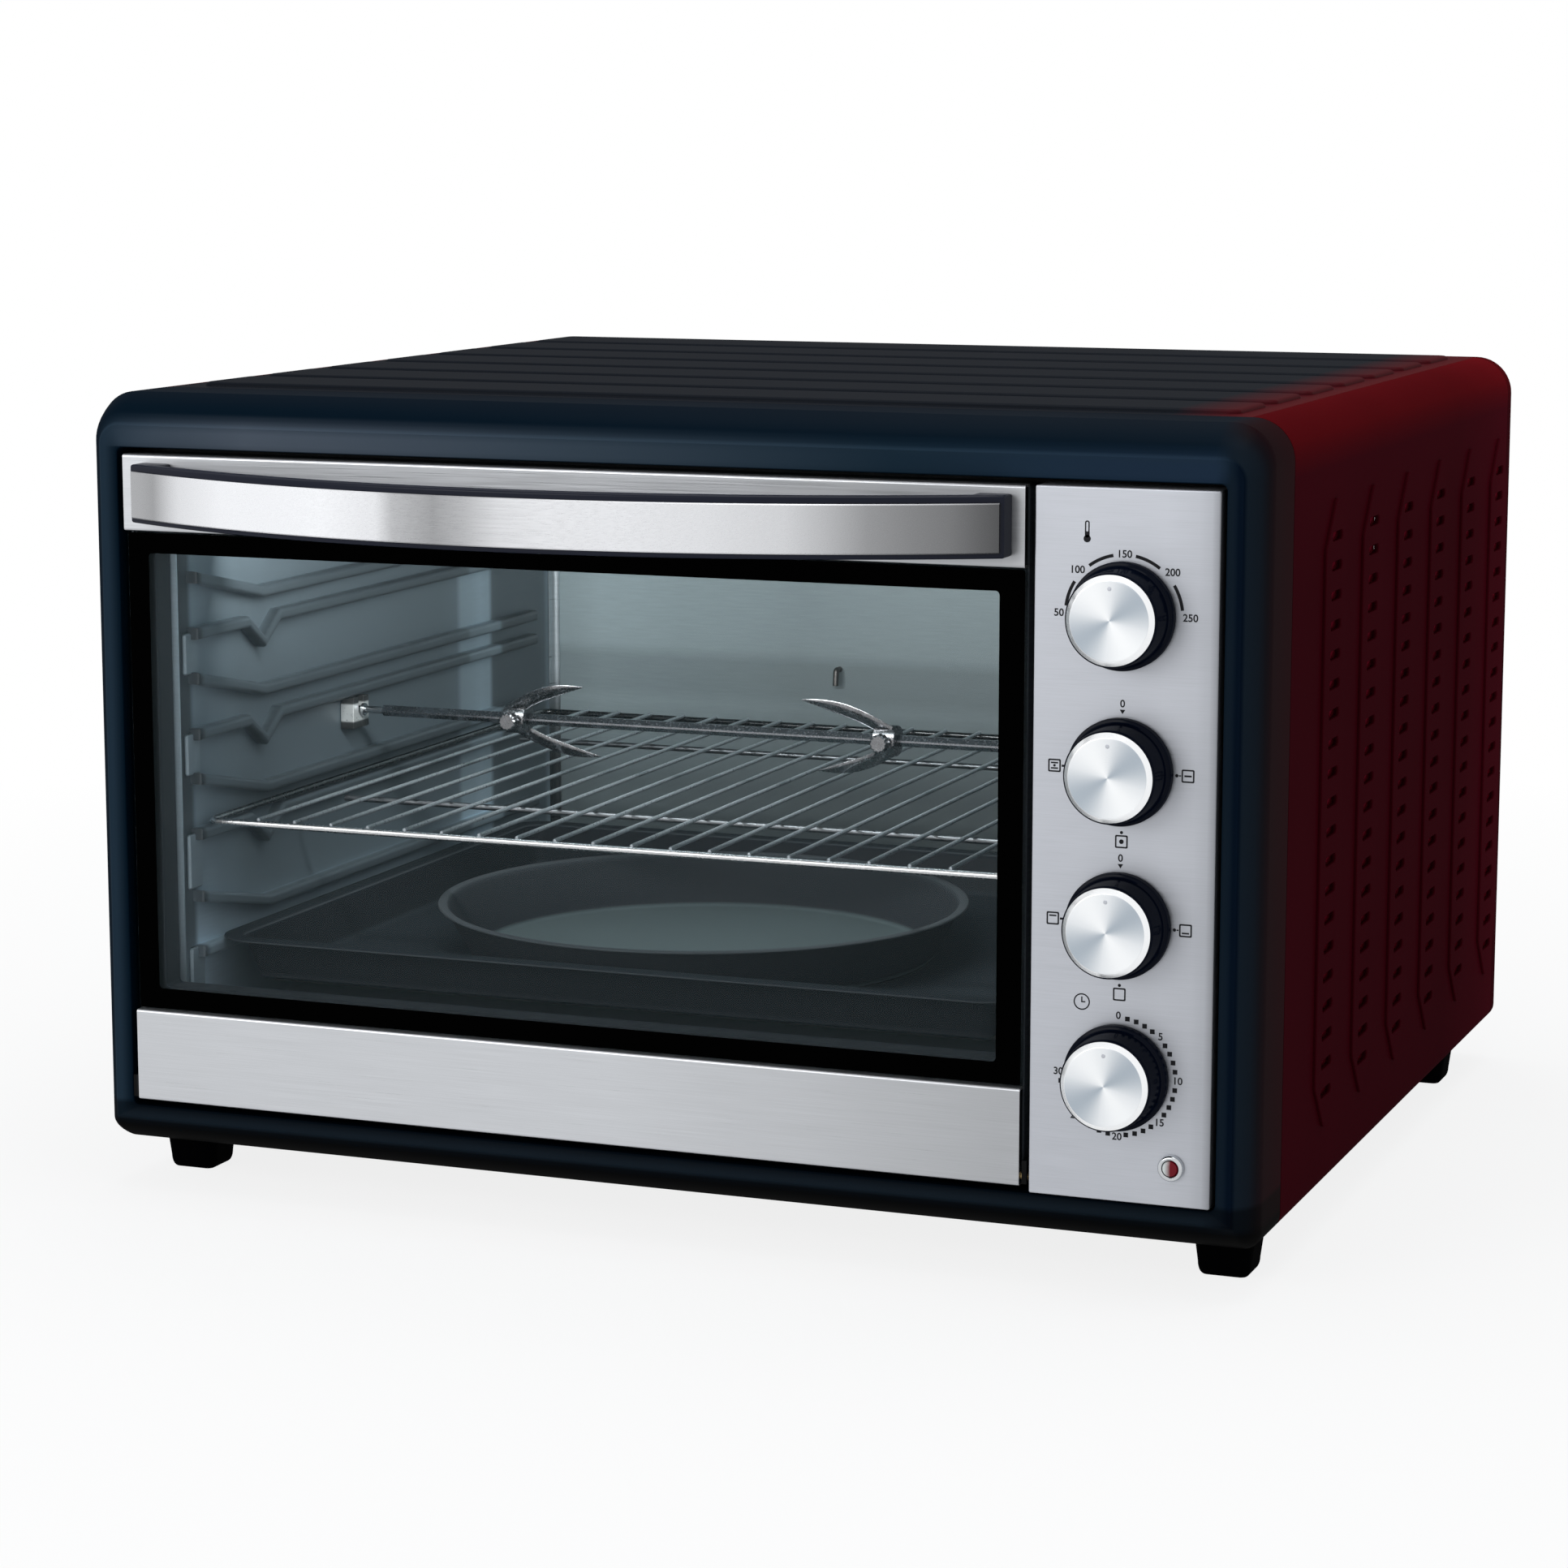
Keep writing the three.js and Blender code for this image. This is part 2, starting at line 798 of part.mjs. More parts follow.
// The lower runner of a slot is level all the way, but for a notch at the neck
function lowerRunner(level) {
  const inner = level - slotHalfHeight;
  const outer = inner - runnerWidth;
  const front = cavityFront + runnerFrontInset;
  const neck = cavityFront + runnerNeckDepth;
  const back = cavityBack - runnerBackInset;
  return [
    [front, outer],
    [neck - runnerNotchHalf, outer],
    [neck, outer - runnerNotchDrop],
    [neck + runnerNotchHalf, outer],
    [back, outer],
    [back, inner],
    [neck + runnerNotchHalf, inner],
    [neck, inner - runnerNotchDrop],
    [neck - runnerNotchHalf, inner],
    [front, inner],
  ];
}

function runners(wallX, direction) {
  const x0 = direction > 0 ? wallX - sheet / 2 : wallX - runnerReach;
  const x1 = direction > 0 ? wallX + runnerReach : wallX + sheet / 2;
  const rackLevels = [0, 1, 2].map((i) => rackLevel + i * runnerPitch);
  return [...rackLevels, trayLevel].flatMap((level) => [
    alongX(upperRunner(level), x0, x1),
    alongX(lowerRunner(level), x0, x1),
  ]);
}

const heaterPlaces = [
  ["heater_top_front", heaterFrontY, heaterTopZ],
  ["heater_top_rear", heaterBackY, heaterTopZ],
  ["heater_bottom_front", heaterFrontY, heaterBottomZ],
  ["heater_bottom_rear", heaterBackY, heaterBottomZ],
];

function sideWall(wallX, direction) {
  const outer = wallX - direction * sheet;
  const [x0, x1] = direction > 0 ? [outer, wallX] : [wallX, outer];
  const skin = box(x0, x1, cavityFront, wallBack, wallBottom, wallTop);
  const heaterHoles = heaterPlaces.map(([, y, z]) =>
    rodX(x0 - overrun, x1 + overrun, y, z, heaterRadius + clearance),
  );
  return cut(join(skin, ...runners(wallX, direction)), ...heaterHoles);
}

const socketHole = rodX(
  cavityRight - runnerReach - overrun,
  cavityRight + sheet + overrun,
  spitY,
  spitZ,
  socketRadius + clearance,
);
add("cavity_left_wall", sideWall(cavityLeft, 1), cavitySteel());
add("cavity_right_wall", cut(sideWall(cavityRight, -1), socketHole), cavitySteel());
const cavityBox = (y0, y1, z0, z1) =>
  box(cavityLeft - sheet, cavityRight + sheet, y0, y1, z0, z1);
add(
  "cavity_ceiling",
  cavityBox(cavityFront, wallBack, cavityCeiling, cavityCeiling + sheet),
  cavitySteel(),
);
add(
  "cavity_floor",
  cavityBox(cavityFront, wallBack, cavityFloor - sheet, cavityFloor),
  cavitySteel(),
);
add(
  "cavity_back_wall",
  cavityBox(
    cavityBack + clearance,
    cavityBack + clearance + sheet,
    cavityFloor - sheet,
    cavityCeiling + sheet,
  ),
  cavitySteel(),
);
heaterPlaces.forEach(([name, y, z]) => {
  const x0 = cavityLeft - sheet - heaterStub;
  const x1 = cavityRight + sheet + heaterStub;
  add(name, rodX(x0, x1, y, z, heaterRadius), darkEnamel());
});

// Control panel: a folded sheet tray with holes for the spindles and the lamp
function controlPanel() {
  const face = { x0: panelLeft, x1: panelRight, z0: panelBottom, z1: panelTop, top: sheet };
  const inner = shrunk(face, panelSkin);
  const tray = loft(
    ringsAlongY([
      [inner, panelSkin],
      [inner, returnBack],
      [face, returnBack],
      [face, 0],
    ]),
    false,
  );
  const holes = knobNames.map((_, i) =>
    rodY(-overrun, panelSkin + overrun, knobX, knobZ(i), spindleHoleRadius),
  );
  const lampHole = rodY(-overrun, panelSkin + overrun, lampX, lampZ, lampLensRadius + sheet);
  return cut(tray, ...holes, lampHole);
}
add("control_panel", controlPanel(), brushedSteel());

const lampStem = lampLensRadius + sheet - clearance;
add(
  "indicator_bezel",
  turned(
    [
      [lampLensRadius, -clearance - lampProud],
      [lampRadius - sheet, -clearance - lampProud],
      [lampRadius, -clearance - lampProud / 2],
      [lampRadius, -clearance],
      [lampStem, -clearance],
      [lampStem, lampStemLength],
      [lampLensRadius, lampStemLength],
      [lampLensRadius, -clearance - lampProud],
    ],
    lampX,
    lampZ,
    smallSides,
  ),
  chrome(),
);
const lensRadius = lampLensRadius - clearance;
add(
  "indicator_lens",
  turned(
    [
      [0, -lampProud - sheet],
      [lensRadius / 2, -lampProud - sheet * lampDomeShare],
      [lensRadius, -lampProud + sheet / 2],
      [lensRadius, lampStemLength],
      [0, lampStemLength],
    ],
    lampX,
    lampZ,
    smallSides,
  ),
  paint(0xb02020, 0.1, 0),
);

// Knobs, each with a bright cap, on the spindle of its own switch
const switchFront = flangeBack + clearance;
const spindleHole = (x, z) =>
  rodY(
    switchFront - overrun,
    switchFront + spindleInSwitch + clearance,
    x,
    z,
    spindleRadius + clearance,
  );

function knob(x, z) {
  const face = -knobGap - knobDepth;
  const body = turned(
    [
      [0, -knobGap],
      [knobBaseRadius, -knobGap],
      [knobBaseRadius, -knobGap - knobSkirtDepth],
      [knobNeckRadius, face + capThickness],
      [capRadius + clearance, face],
      [capRadius + clearance, face + capThickness],
      [0, face + capThickness],
    ],
    x,
    z,
  );
  const bore = rodY(
    -knobGap - spindleInKnob - clearance,
    -knobGap + overrun,
    x,
    z,
    spindleRadius + clearance,
  );
  return cut(body, bore);
}

function knobCap(x, z) {
  const seat = -knobGap - knobDepth + capThickness - clearance;
  const face = seat - capThickness - capProud;
  return turned(
    [
      [0, seat],
      [capRadius, seat],
      [capRadius, face + capProud],
      [capRadius - capProud, face],
      [0, face],
    ],
    x,
    z,
  );
}

knobNames.forEach((name, i) => {
  add(`${name}_knob`, knob(knobX, knobZ(i)), darkBar());
  add(`${name}_cap`, knobCap(knobX, knobZ(i)), chrome());
  add(
    `${name}_spindle`,
    rodY(-knobGap - spindleInKnob, switchFront + spindleInSwitch, knobX, knobZ(i), spindleRadius),
    brushedSteel(),
  );
});

const boxAt = (width, height, depth, z) =>
  box(
    knobX - width / 2,
    knobX + width / 2,
    switchFront,
    switchFront + depth,
    z - height / 2,
    z + height / 2,
  );
const drumAt = (z) => rodY(switchFront, switchFront + switchDepth, knobX, z, switchRadius);
add(
  "thermostat",
  cut(
    boxAt(thermostatWidth, thermostatHeight, thermostatDepth, knobZ(0)),
    spindleHole(knobX, knobZ(0)),
  ),
  cavitySteel(),
);
add("upper_switch", cut(drumAt(knobZ(1)), spindleHole(knobX, knobZ(1))), darkEnamel());
add("lower_switch", cut(drumAt(knobZ(2)), spindleHole(knobX, knobZ(2))), darkEnamel());
add(
  "timer_mechanism",
  cut(boxAt(timerWidth, timerWidth, timerDepth, knobZ(3)), spindleHole(knobX, knobZ(3))),
  cavitySteel(),
);

// Door: a pressed frame, open to the front, closed at the back, with a window
const doorOutline = {
  x0: doorLeft,
  x1: doorRight,
  z0: doorBottom,
  z1: doorTop,
  top: doorFrameRadius,
};
const windowOutline = {
  x0: windowLeft,
  x1: windowRight,
  z0: windowBottom,
  z1: windowTop,
  top: windowRadius,
};

function doorFrame() {
  const skin = doorFrameBack - sheet;
  const outer = shrunk(doorOutline, sheet);
  const inner = shrunk(windowOutline, -sheet);
  const pressed = loft(
    ringsAlongY([
      [doorOutline, doorFrameFront],
      [doorOutline, doorFrameBack],
      [windowOutline, doorFrameBack],
      [windowOutline, doorFrameFront],
      [inner, doorFrameFront],
      [inner, skin],
      [outer, skin],
      [outer, doorFrameFront],
    ]),
    true,
  );
  const lug = (x0) =>
    box(
      x0,
      x0 + hingeLugLength,
      hingeY - hingeLugHalf,
      doorFrameBack - sheet / 2,
      hingeZ - hingeLugHalf,
      hingeZ + hingeLugHalf,
    );
  const bore = rodX(
    doorLeft - overrun,
    doorRight + overrun,
    hingeY,
    hingeZ,
    hingePinRadius + clearance,
  );
  return cut(
    join(pressed, lug(doorLeft + clearance), lug(doorRight - clearance - hingeLugLength)),
    bore,
  );
}
add("door_frame", doorFrame(), blackPaint());

// Rail: a folded sheet channel, open at the back and at its ends
function rail(bottom, top) {
  const section = [
    [0, bottom],
    [railDepth, bottom],
    [railDepth, bottom + sheet],
    [sheet, bottom + sheet],
    [sheet, top - sheet],
    [railDepth, top - sheet],
    [railDepth, top],
    [0, top],
  ];
  return alongX(section, doorLeft, doorRight);
}
add("door_top_rail", rail(topRailBottom, doorTop), brushedSteel());
add("door_bottom_rail", rail(doorBottom, bottomRailTop), brushedSteel());
add(
  "door_glass",
  box(
    doorLeft,
    doorRight,
    glassFront,
    glassBack,
    bottomRailTop + clearance,
    topRailBottom - clearance,
  ),
  clearGlass(),
);

const pinInDoor = clearance + hingePinInDoor;
add(
  "hinge_pin_left",
  rodX(leftEar[0] - hingePinHeadLength, doorLeft + pinInDoor, hingeY, hingeZ, hingePinRadius),
  paint(0xb08d57, 0.3, 1),
);
add(
  "hinge_pin_right",
  rodX(doorRight - pinInDoor, rightEar[1] + hingePinHeadLength, hingeY, hingeZ, hingePinRadius),
  paint(0xb08d57, 0.3, 1),
);

// Handle: its face is a circle's arc through both ends and the bow
const handleLeft = doorLeft + handleLeftMargin;
const handleRight = doorRight - handleRightMargin;
const handleMiddle = (handleLeft + handleRight) / 2;
const handleHalf = (handleRight - handleLeft) / 2;
const handleRadius = (handleHalf ** 2 + handleBow ** 2) / (2 * handleBow);
const handleBottom = topRailBottom + handleLift;
const bowY = (x, radius) =>
  handleRadius - handleBow - handleEndReach - Math.sqrt(radius ** 2 - (x - handleMiddle) ** 2);
const bowPoints = (x0, x1, radius) =>
  Array.from({ length: handleSteps + 1 }, (_, i) => {
    const x = x0 + ((x1 - x0) * i) / handleSteps;
    return [x, bowY(x, radius)];
  });

function handleBar() {
  const innerRadius = handleRadius - handleThickness;
  const innerLeft = handleLeft + handleEndLength;
  const innerRight = handleRight - handleEndLength;
  const plan = [
    [handleLeft, -clearance],
    ...bowPoints(handleLeft, handleRight, handleRadius),
    [handleRight, -clearance],
    [innerRight, -clearance],
    ...bowPoints(innerRight, innerLeft, innerRadius),
    [innerLeft, -clearance],
  ];
  return alongZ(plan, handleBottom, handleBottom + handleHeight);
}
add("door_handle", handleBar(), darkBar());

function handleStrip() {
  const left = handleLeft + stripEndLip;
  const right = handleRight - stripEndLip;
  const plan = [
    ...bowPoints(left, right, handleRadius + clearance + stripThickness),
    ...bowPoints(right, left, handleRadius + clearance),
  ];
  return alongZ(plan, handleBottom + stripBottomLip, handleBottom + handleHeight - stripTopLip);
}
add("handle_strip", handleStrip(), brushedSteel());

// Rack: a wire frame that rides in a slot, with wires from front to back over two cross bars
function rack() {
  const left = cavityLeft + rackSideGap + rackFrameRadius;
  const right = cavityRight - rackSideGap - rackFrameRadius;
  const front = cavityFront + rackFrontInset;
  const back = cavityBack - rackBackGap;
  const z = rackLevel - slotHalfHeight + clearance + rackFrameRadius;
  const tube = (y0, y1, x) => rodY(y0, y1, x, z, rackFrameRadius, rackSides);
  const bar = (x0, x1, y, height) =>
    rodX(x0 - rackFrameRadius / 2, x1 + rackFrameRadius / 2, y, height, rackFrameRadius, rackSides);
  const wires = Math.floor((right - left) / rackWirePitch) - 1;
  const first = (left + right) / 2 - ((wires - 1) * rackWirePitch) / 2;
  const last = left + right - first;
  const wireZ = z + rackFrameRadius - rackWireRadius / 2;
  const barZ = wireZ - rackWireRadius / 2 - rackFrameRadius;
  const pieces = [
    tube(front - rackFrameRadius, back + rackFrameRadius, left),
    tube(front - rackFrameRadius, back + rackFrameRadius, right),
    bar(left, right, front, z),
    bar(left, right, back, z),
    bar(first, last, front + rackBarSpacing, barZ),
    bar(first, last, back - rackBarSpacing, barZ),
  ];
  for (let i = 0; i < wires; i += 1) {
    const x = first + i * rackWirePitch;
    pieces.push(rodY(front - rackFrameRadius / 2, back, x, wireZ, rackWireRadius, rackSides));
  }
  return join(...pieces);
}
add("wire_rack", rack(), chrome());

// Baking tray: a drawn pan whose flat rim rides in the lowest slot
const trayRimBottom = trayLevel - slotHalfHeight + clearance;
const trayRimTop = trayRimBottom + trayWall;
const trayFloorTop = trayRimTop - trayDepth;

function bakingTray() {
  const rim = {
    x0: cavityLeft + rackSideGap,
    x1: cavityRight - rackSideGap,
    z0: cavityFront + trayFrontInset,
    z1: cavityBack - trayBackGap,
    top: trayCornerRadius,
  };
  const mouth = shrunk(rim, trayRimWidth);
  const floor = shrunk(mouth, trayDraft);
  return loft(
    ringsAlongZ([
      [shrunk(floor, trayWall), trayFloorTop],
      [shrunk(mouth, trayWall), trayRimTop],
      [rim, trayRimTop],
      [rim, trayRimBottom],
      [mouth, trayRimBottom],
      [floor, trayFloorTop - trayWall],
    ]),
    false,
  );
}
add("baking_tray", bakingTray(), darkEnamel());

function roundPan() {
  const base = trayFloorTop + clearance;
  const rim = base + panDepth;
  const wall = panWall;
  const pan = turned(
    [
      [0, base],
      [panBaseRadius, base],
      [panRadius - wall, rim - wall],
      [panRadius + panRimWidth, rim - wall],
      [panRadius + panRimWidth, rim],
      [panRadius - wall * 2, rim],
      [panBaseRadius - wall, base + wall],
      [0, base + wall],
    ],
    0,
    0,
    panSides,
  );
  return pan
    .rotateX(Math.PI / 2)
    .translate((cavityLeft + cavityRight) / 2 - panShift, cavityFront + panCentreDepth, 0);
}
add("round_pan", roundPan(), darkEnamel());

// Spit: a square rod with a journal, disc and nut at the left and a round tip in the socket
const spitLeft = cavityLeft + spitEndGap;
const spitBarLeft = cavityLeft + spitJournalLength;
const spitBarRight = cavityRight - socketReach - spitEndGap;
const socketFace = cavityRight - socketReach;

function spitRod() {
  const disc = cavityLeft + spitDiscFromWall;
  const nut = cavityLeft + spitNutFromWall;
  const square = (x0, x1, half) => box(x0, x1, spitY - half, spitY + half, spitZ - half, spitZ + half);
  return join(
    rodX(spitLeft, spitBarLeft + overrun, spitY, spitZ, spitJournalRadius),
    rodX(disc, disc + spitDiscLength, spitY, spitZ, spitDiscRadius),
    square(nut, nut + spitNutLength, spitNutHalf),
    square(spitBarLeft, spitBarRight, spitHalf),
    rodX(spitBarRight - overrun, socketFace + spitInSocket, spitY, spitZ, spitJournalRadius),
  );
}
add("spit_rod", spitRod(), chrome());

// Bracket on the left wall with a notch that the journal lies in
function spitSupport() {
  const x0 = cavityLeft + clearance;
  const x1 = x0 + supportReach;
  const notch = spitJournalRadius + clearance;
  const block = box(
    x0,
    x1,
    spitY - supportHalfWidth,
    spitY + supportHalfWidth,
    spitZ - supportDrop,
    spitZ + supportRise,
  );
  return cut(
    block,
    rodX(x0 - overrun, x1 + overrun, spitY, spitZ, notch),
    box(
      x0 - overrun,
      x1 + overrun,
      spitY - notch,
      spitY + notch,
      spitZ,
      spitZ + supportRise + overrun,
    ),
  );
}
add("spit_support", spitSupport(), chrome());

const motorFace = cavityRight + sheet + clearance;
const socketEnd = motorFace + socketDepthInMotor;
add(
  "drive_socket",
  cut(
    rodX(socketFace, socketEnd, spitY, spitZ, socketRadius),
    rodX(
      socketFace - overrun,
      socketFace + spitInSocket + clearance,
      spitY,
      spitZ,
      spitJournalRadius + clearance,
    ),
  ),
  chrome(),
);
add(
  "spit_motor",
  cut(
    box(
      motorFace,
      motorFace + motorDepth,
      spitY - motorSize / 2,
      spitY + motorSize / 2,
      spitZ - motorSize / 2,
      spitZ + motorSize / 2,
    ),
    rodX(motorFace - overrun, socketEnd + clearance, spitY, spitZ, socketRadius + clearance),
  ),
  cavitySteel(),
);

// Fork: a hub on the rod and one bent wire whose two prongs point towards the middle
function fork(hubX, direction) {
  const bend = forkHalfSpan;
  const reach = direction * forkProngLength;
  const shape = (step, span) => [direction * step, 0, span];
  const half = (sign) => [
    [reach, 0, sign * (bend - forkWireRadius * 2)],
    shape(forkProngLength / 2, sign * bend),
    shape(forkWireRadius * 3, sign * (bend - forkWireRadius)),
    shape(0, sign * (bend / 2)),
  ];
  const prongs = wire([...half(1), ...half(-1).reverse()], forkWireRadius, handleSteps);
  const hub = rodX(-forkHubLength / 2, forkHubLength / 2, 0, 0, forkHubRadius);
  const loose = spitHalf + clearance;
  const bore = box(-forkHubLength, forkHubLength, -loose, loose, -loose, loose);
  const screwHole = new THREE.CylinderGeometry(
    screwRadius + clearance,
    screwRadius + clearance,
    forkHubRadius + overrun,
    smallSides,
  ).translate(0, -(forkHubRadius + overrun) / 2, 0);
  const made = join(hub, prongs).rotateX(forkTilt);
  return cut(made, bore, screwHole).translate(hubX, spitY, spitZ);
}

function forkScrew(hubX) {
  const tip = spitHalf + clearance;
  const neck = forkHubRadius + screwProud;
  const shank = new THREE.CylinderGeometry(screwRadius, screwRadius, neck - tip + overrun, smallSides);
  const head = new THREE.CylinderGeometry(
    screwHeadRadius,
    screwHeadRadius,
    screwHeadLength,
    smallSides,
  );
  return join(
    shank.translate(0, -(tip + (neck - tip + overrun) / 2), 0),
    head.translate(0, -(neck + screwHeadLength / 2), 0),
  ).translate(hubX, spitY, spitZ);
}

const forkLeftX = cavityLeft + forkLeftFromWall;
const forkRightX = cavityRight - forkRightFromWall;
add("fork_left", fork(forkLeftX, 1), chrome());
add("fork_right", fork(forkRightX, -1), chrome());
add("fork_screw_left", forkScrew(forkLeftX), chrome());
add("fork_screw_right", forkScrew(forkRightX), chrome());

// The origin goes to the middle of the whole part's footprint, on the surface it stands on
const frontReach = handleBow + handleEndReach + clearance + stripThickness;
const rearReach = bodyDepth + clearance + glandFlangeLength;
oven.position.set(-bodyWidth / 2, (frontReach - rearReach) / 2, footHeight);

const part = new THREE.Group();
part.add(oven);
export default part;
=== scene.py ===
import math

import bmesh
import bpy
from mathutils import Matrix, Vector


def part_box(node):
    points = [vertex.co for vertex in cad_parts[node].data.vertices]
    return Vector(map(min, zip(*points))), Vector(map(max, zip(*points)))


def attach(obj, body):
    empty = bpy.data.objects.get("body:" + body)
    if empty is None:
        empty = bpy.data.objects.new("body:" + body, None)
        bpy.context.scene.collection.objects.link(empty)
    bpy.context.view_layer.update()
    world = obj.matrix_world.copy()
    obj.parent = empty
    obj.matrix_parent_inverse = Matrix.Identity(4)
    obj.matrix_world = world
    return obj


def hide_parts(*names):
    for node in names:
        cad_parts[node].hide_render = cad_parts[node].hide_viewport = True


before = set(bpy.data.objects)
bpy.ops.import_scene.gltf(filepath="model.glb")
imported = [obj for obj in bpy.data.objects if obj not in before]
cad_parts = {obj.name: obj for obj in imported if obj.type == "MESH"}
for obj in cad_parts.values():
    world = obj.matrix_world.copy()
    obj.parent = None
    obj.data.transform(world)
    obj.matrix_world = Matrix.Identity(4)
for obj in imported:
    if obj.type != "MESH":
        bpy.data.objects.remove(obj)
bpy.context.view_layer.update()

# Every length below is in millimetres from the corner of the casing that home names: x to the
# right, y to the rear, z up. place() turns such a point into the frame's metres.
mm = 0.001
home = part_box("front_frame")[0]
half = 0.5
quarter_turn = math.pi / 2
full_turn = math.pi * 2


def place(point):
    return home + Vector(point) * mm


def node_box(node):
    low, high = [(corner - home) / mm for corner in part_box(node)]
    return low.x, high.x, low.y, high.y, low.z, high.z


def middle(node):
    x0, x1, y0, y1, z0, z1 = node_box(node)
    return (x0 + x1) * half, (y0 + y1) * half, (z0 + z1) * half


def added(name, data):
    """A new object in the scene."""
    obj = bpy.data.objects.new(name, data)
    bpy.context.scene.collection.objects.link(obj)
    return obj


# The camera stands where the photograph was taken from
camera_place = (1055.7, -1751.1, 517.6)
camera_yaw = 21.33
camera_pitch = 9.4
camera_lens = 93.72
camera_sensor = 36
camera = added("camera", bpy.data.cameras.new("camera"))
camera.data.sensor_width = camera_sensor
camera.data.lens = camera_lens
camera.location = place(camera_place)
camera.rotation_euler = (quarter_turn - math.radians(camera_pitch), 0, math.radians(camera_yaw))
bpy.context.scene.camera = camera


def triple(value):
    """A colour or direction as it is, or one number three times."""
    return value if isinstance(value, tuple) else (value,) * 3


class Nodes:
    """The nodes of one material, or of the world."""

    def __init__(self, owner):
        owner.use_nodes = True
        self.tree = owner.node_tree

    def link(self, source, target):
        self.tree.links.new(source, target)

    def node(self, kind, sockets=None, **settings):
        """A new node. Each of its sockets gets a value, or the output that feeds it."""
        made = self.tree.nodes.new("ShaderNode" + kind)
        for key, setting in settings.items():
            setattr(made, key, setting)
        for socket, value in (sockets or {}).items():
            if isinstance(value, bpy.types.NodeSocket):
                self.link(value, made.inputs[socket])
            else:
                made.inputs[socket].default_value = value
        return made

    def result(self, operation, *values):
        return self.node("Math", dict(enumerate(values)), operation=operation).outputs["Value"]

    def length(self, vector):
        return self.node("VectorMath", {0: vector}, operation="LENGTH").outputs["Value"]

    def spread(self, source, low, high, from_low=0, from_high=1):
        """The source's range from from_low to from_high, spread from low to high."""
        sockets = {"Value": source, "From Min": from_low, "From Max": from_high,
                   "To Min": low, "To Max": high}
        return self.node("MapRange", sockets).outputs["Result"]


# Textures: grains of brushed metal and other noises, in waves to the metre
long_grain = (18, 2600, 2600)
panel_grain = (36, 2600, 2600)
wall_grain = (60, 60, 900)
case_grain = (500, 500, 500)
cloud_waves = 9
glass_waves = 40
gloss_waves = 60
smear_waves = 220
scratch_waves = 900
fine_detail = 4
grain_roughness = 0.6

# Most of a noise lies between these two values
noise_low = 0.3
noise_high = 0.7

# How far tone and roughness vary about their middle
tone_share = 0.06
brush_shares = (0.8, 1.25)
paint_shares = (0.85, 1.15)
metal_shares = (0.7, 1.6)
brush_depth = 0.01
brush_strength = 0.25
peel_strength = 0.3


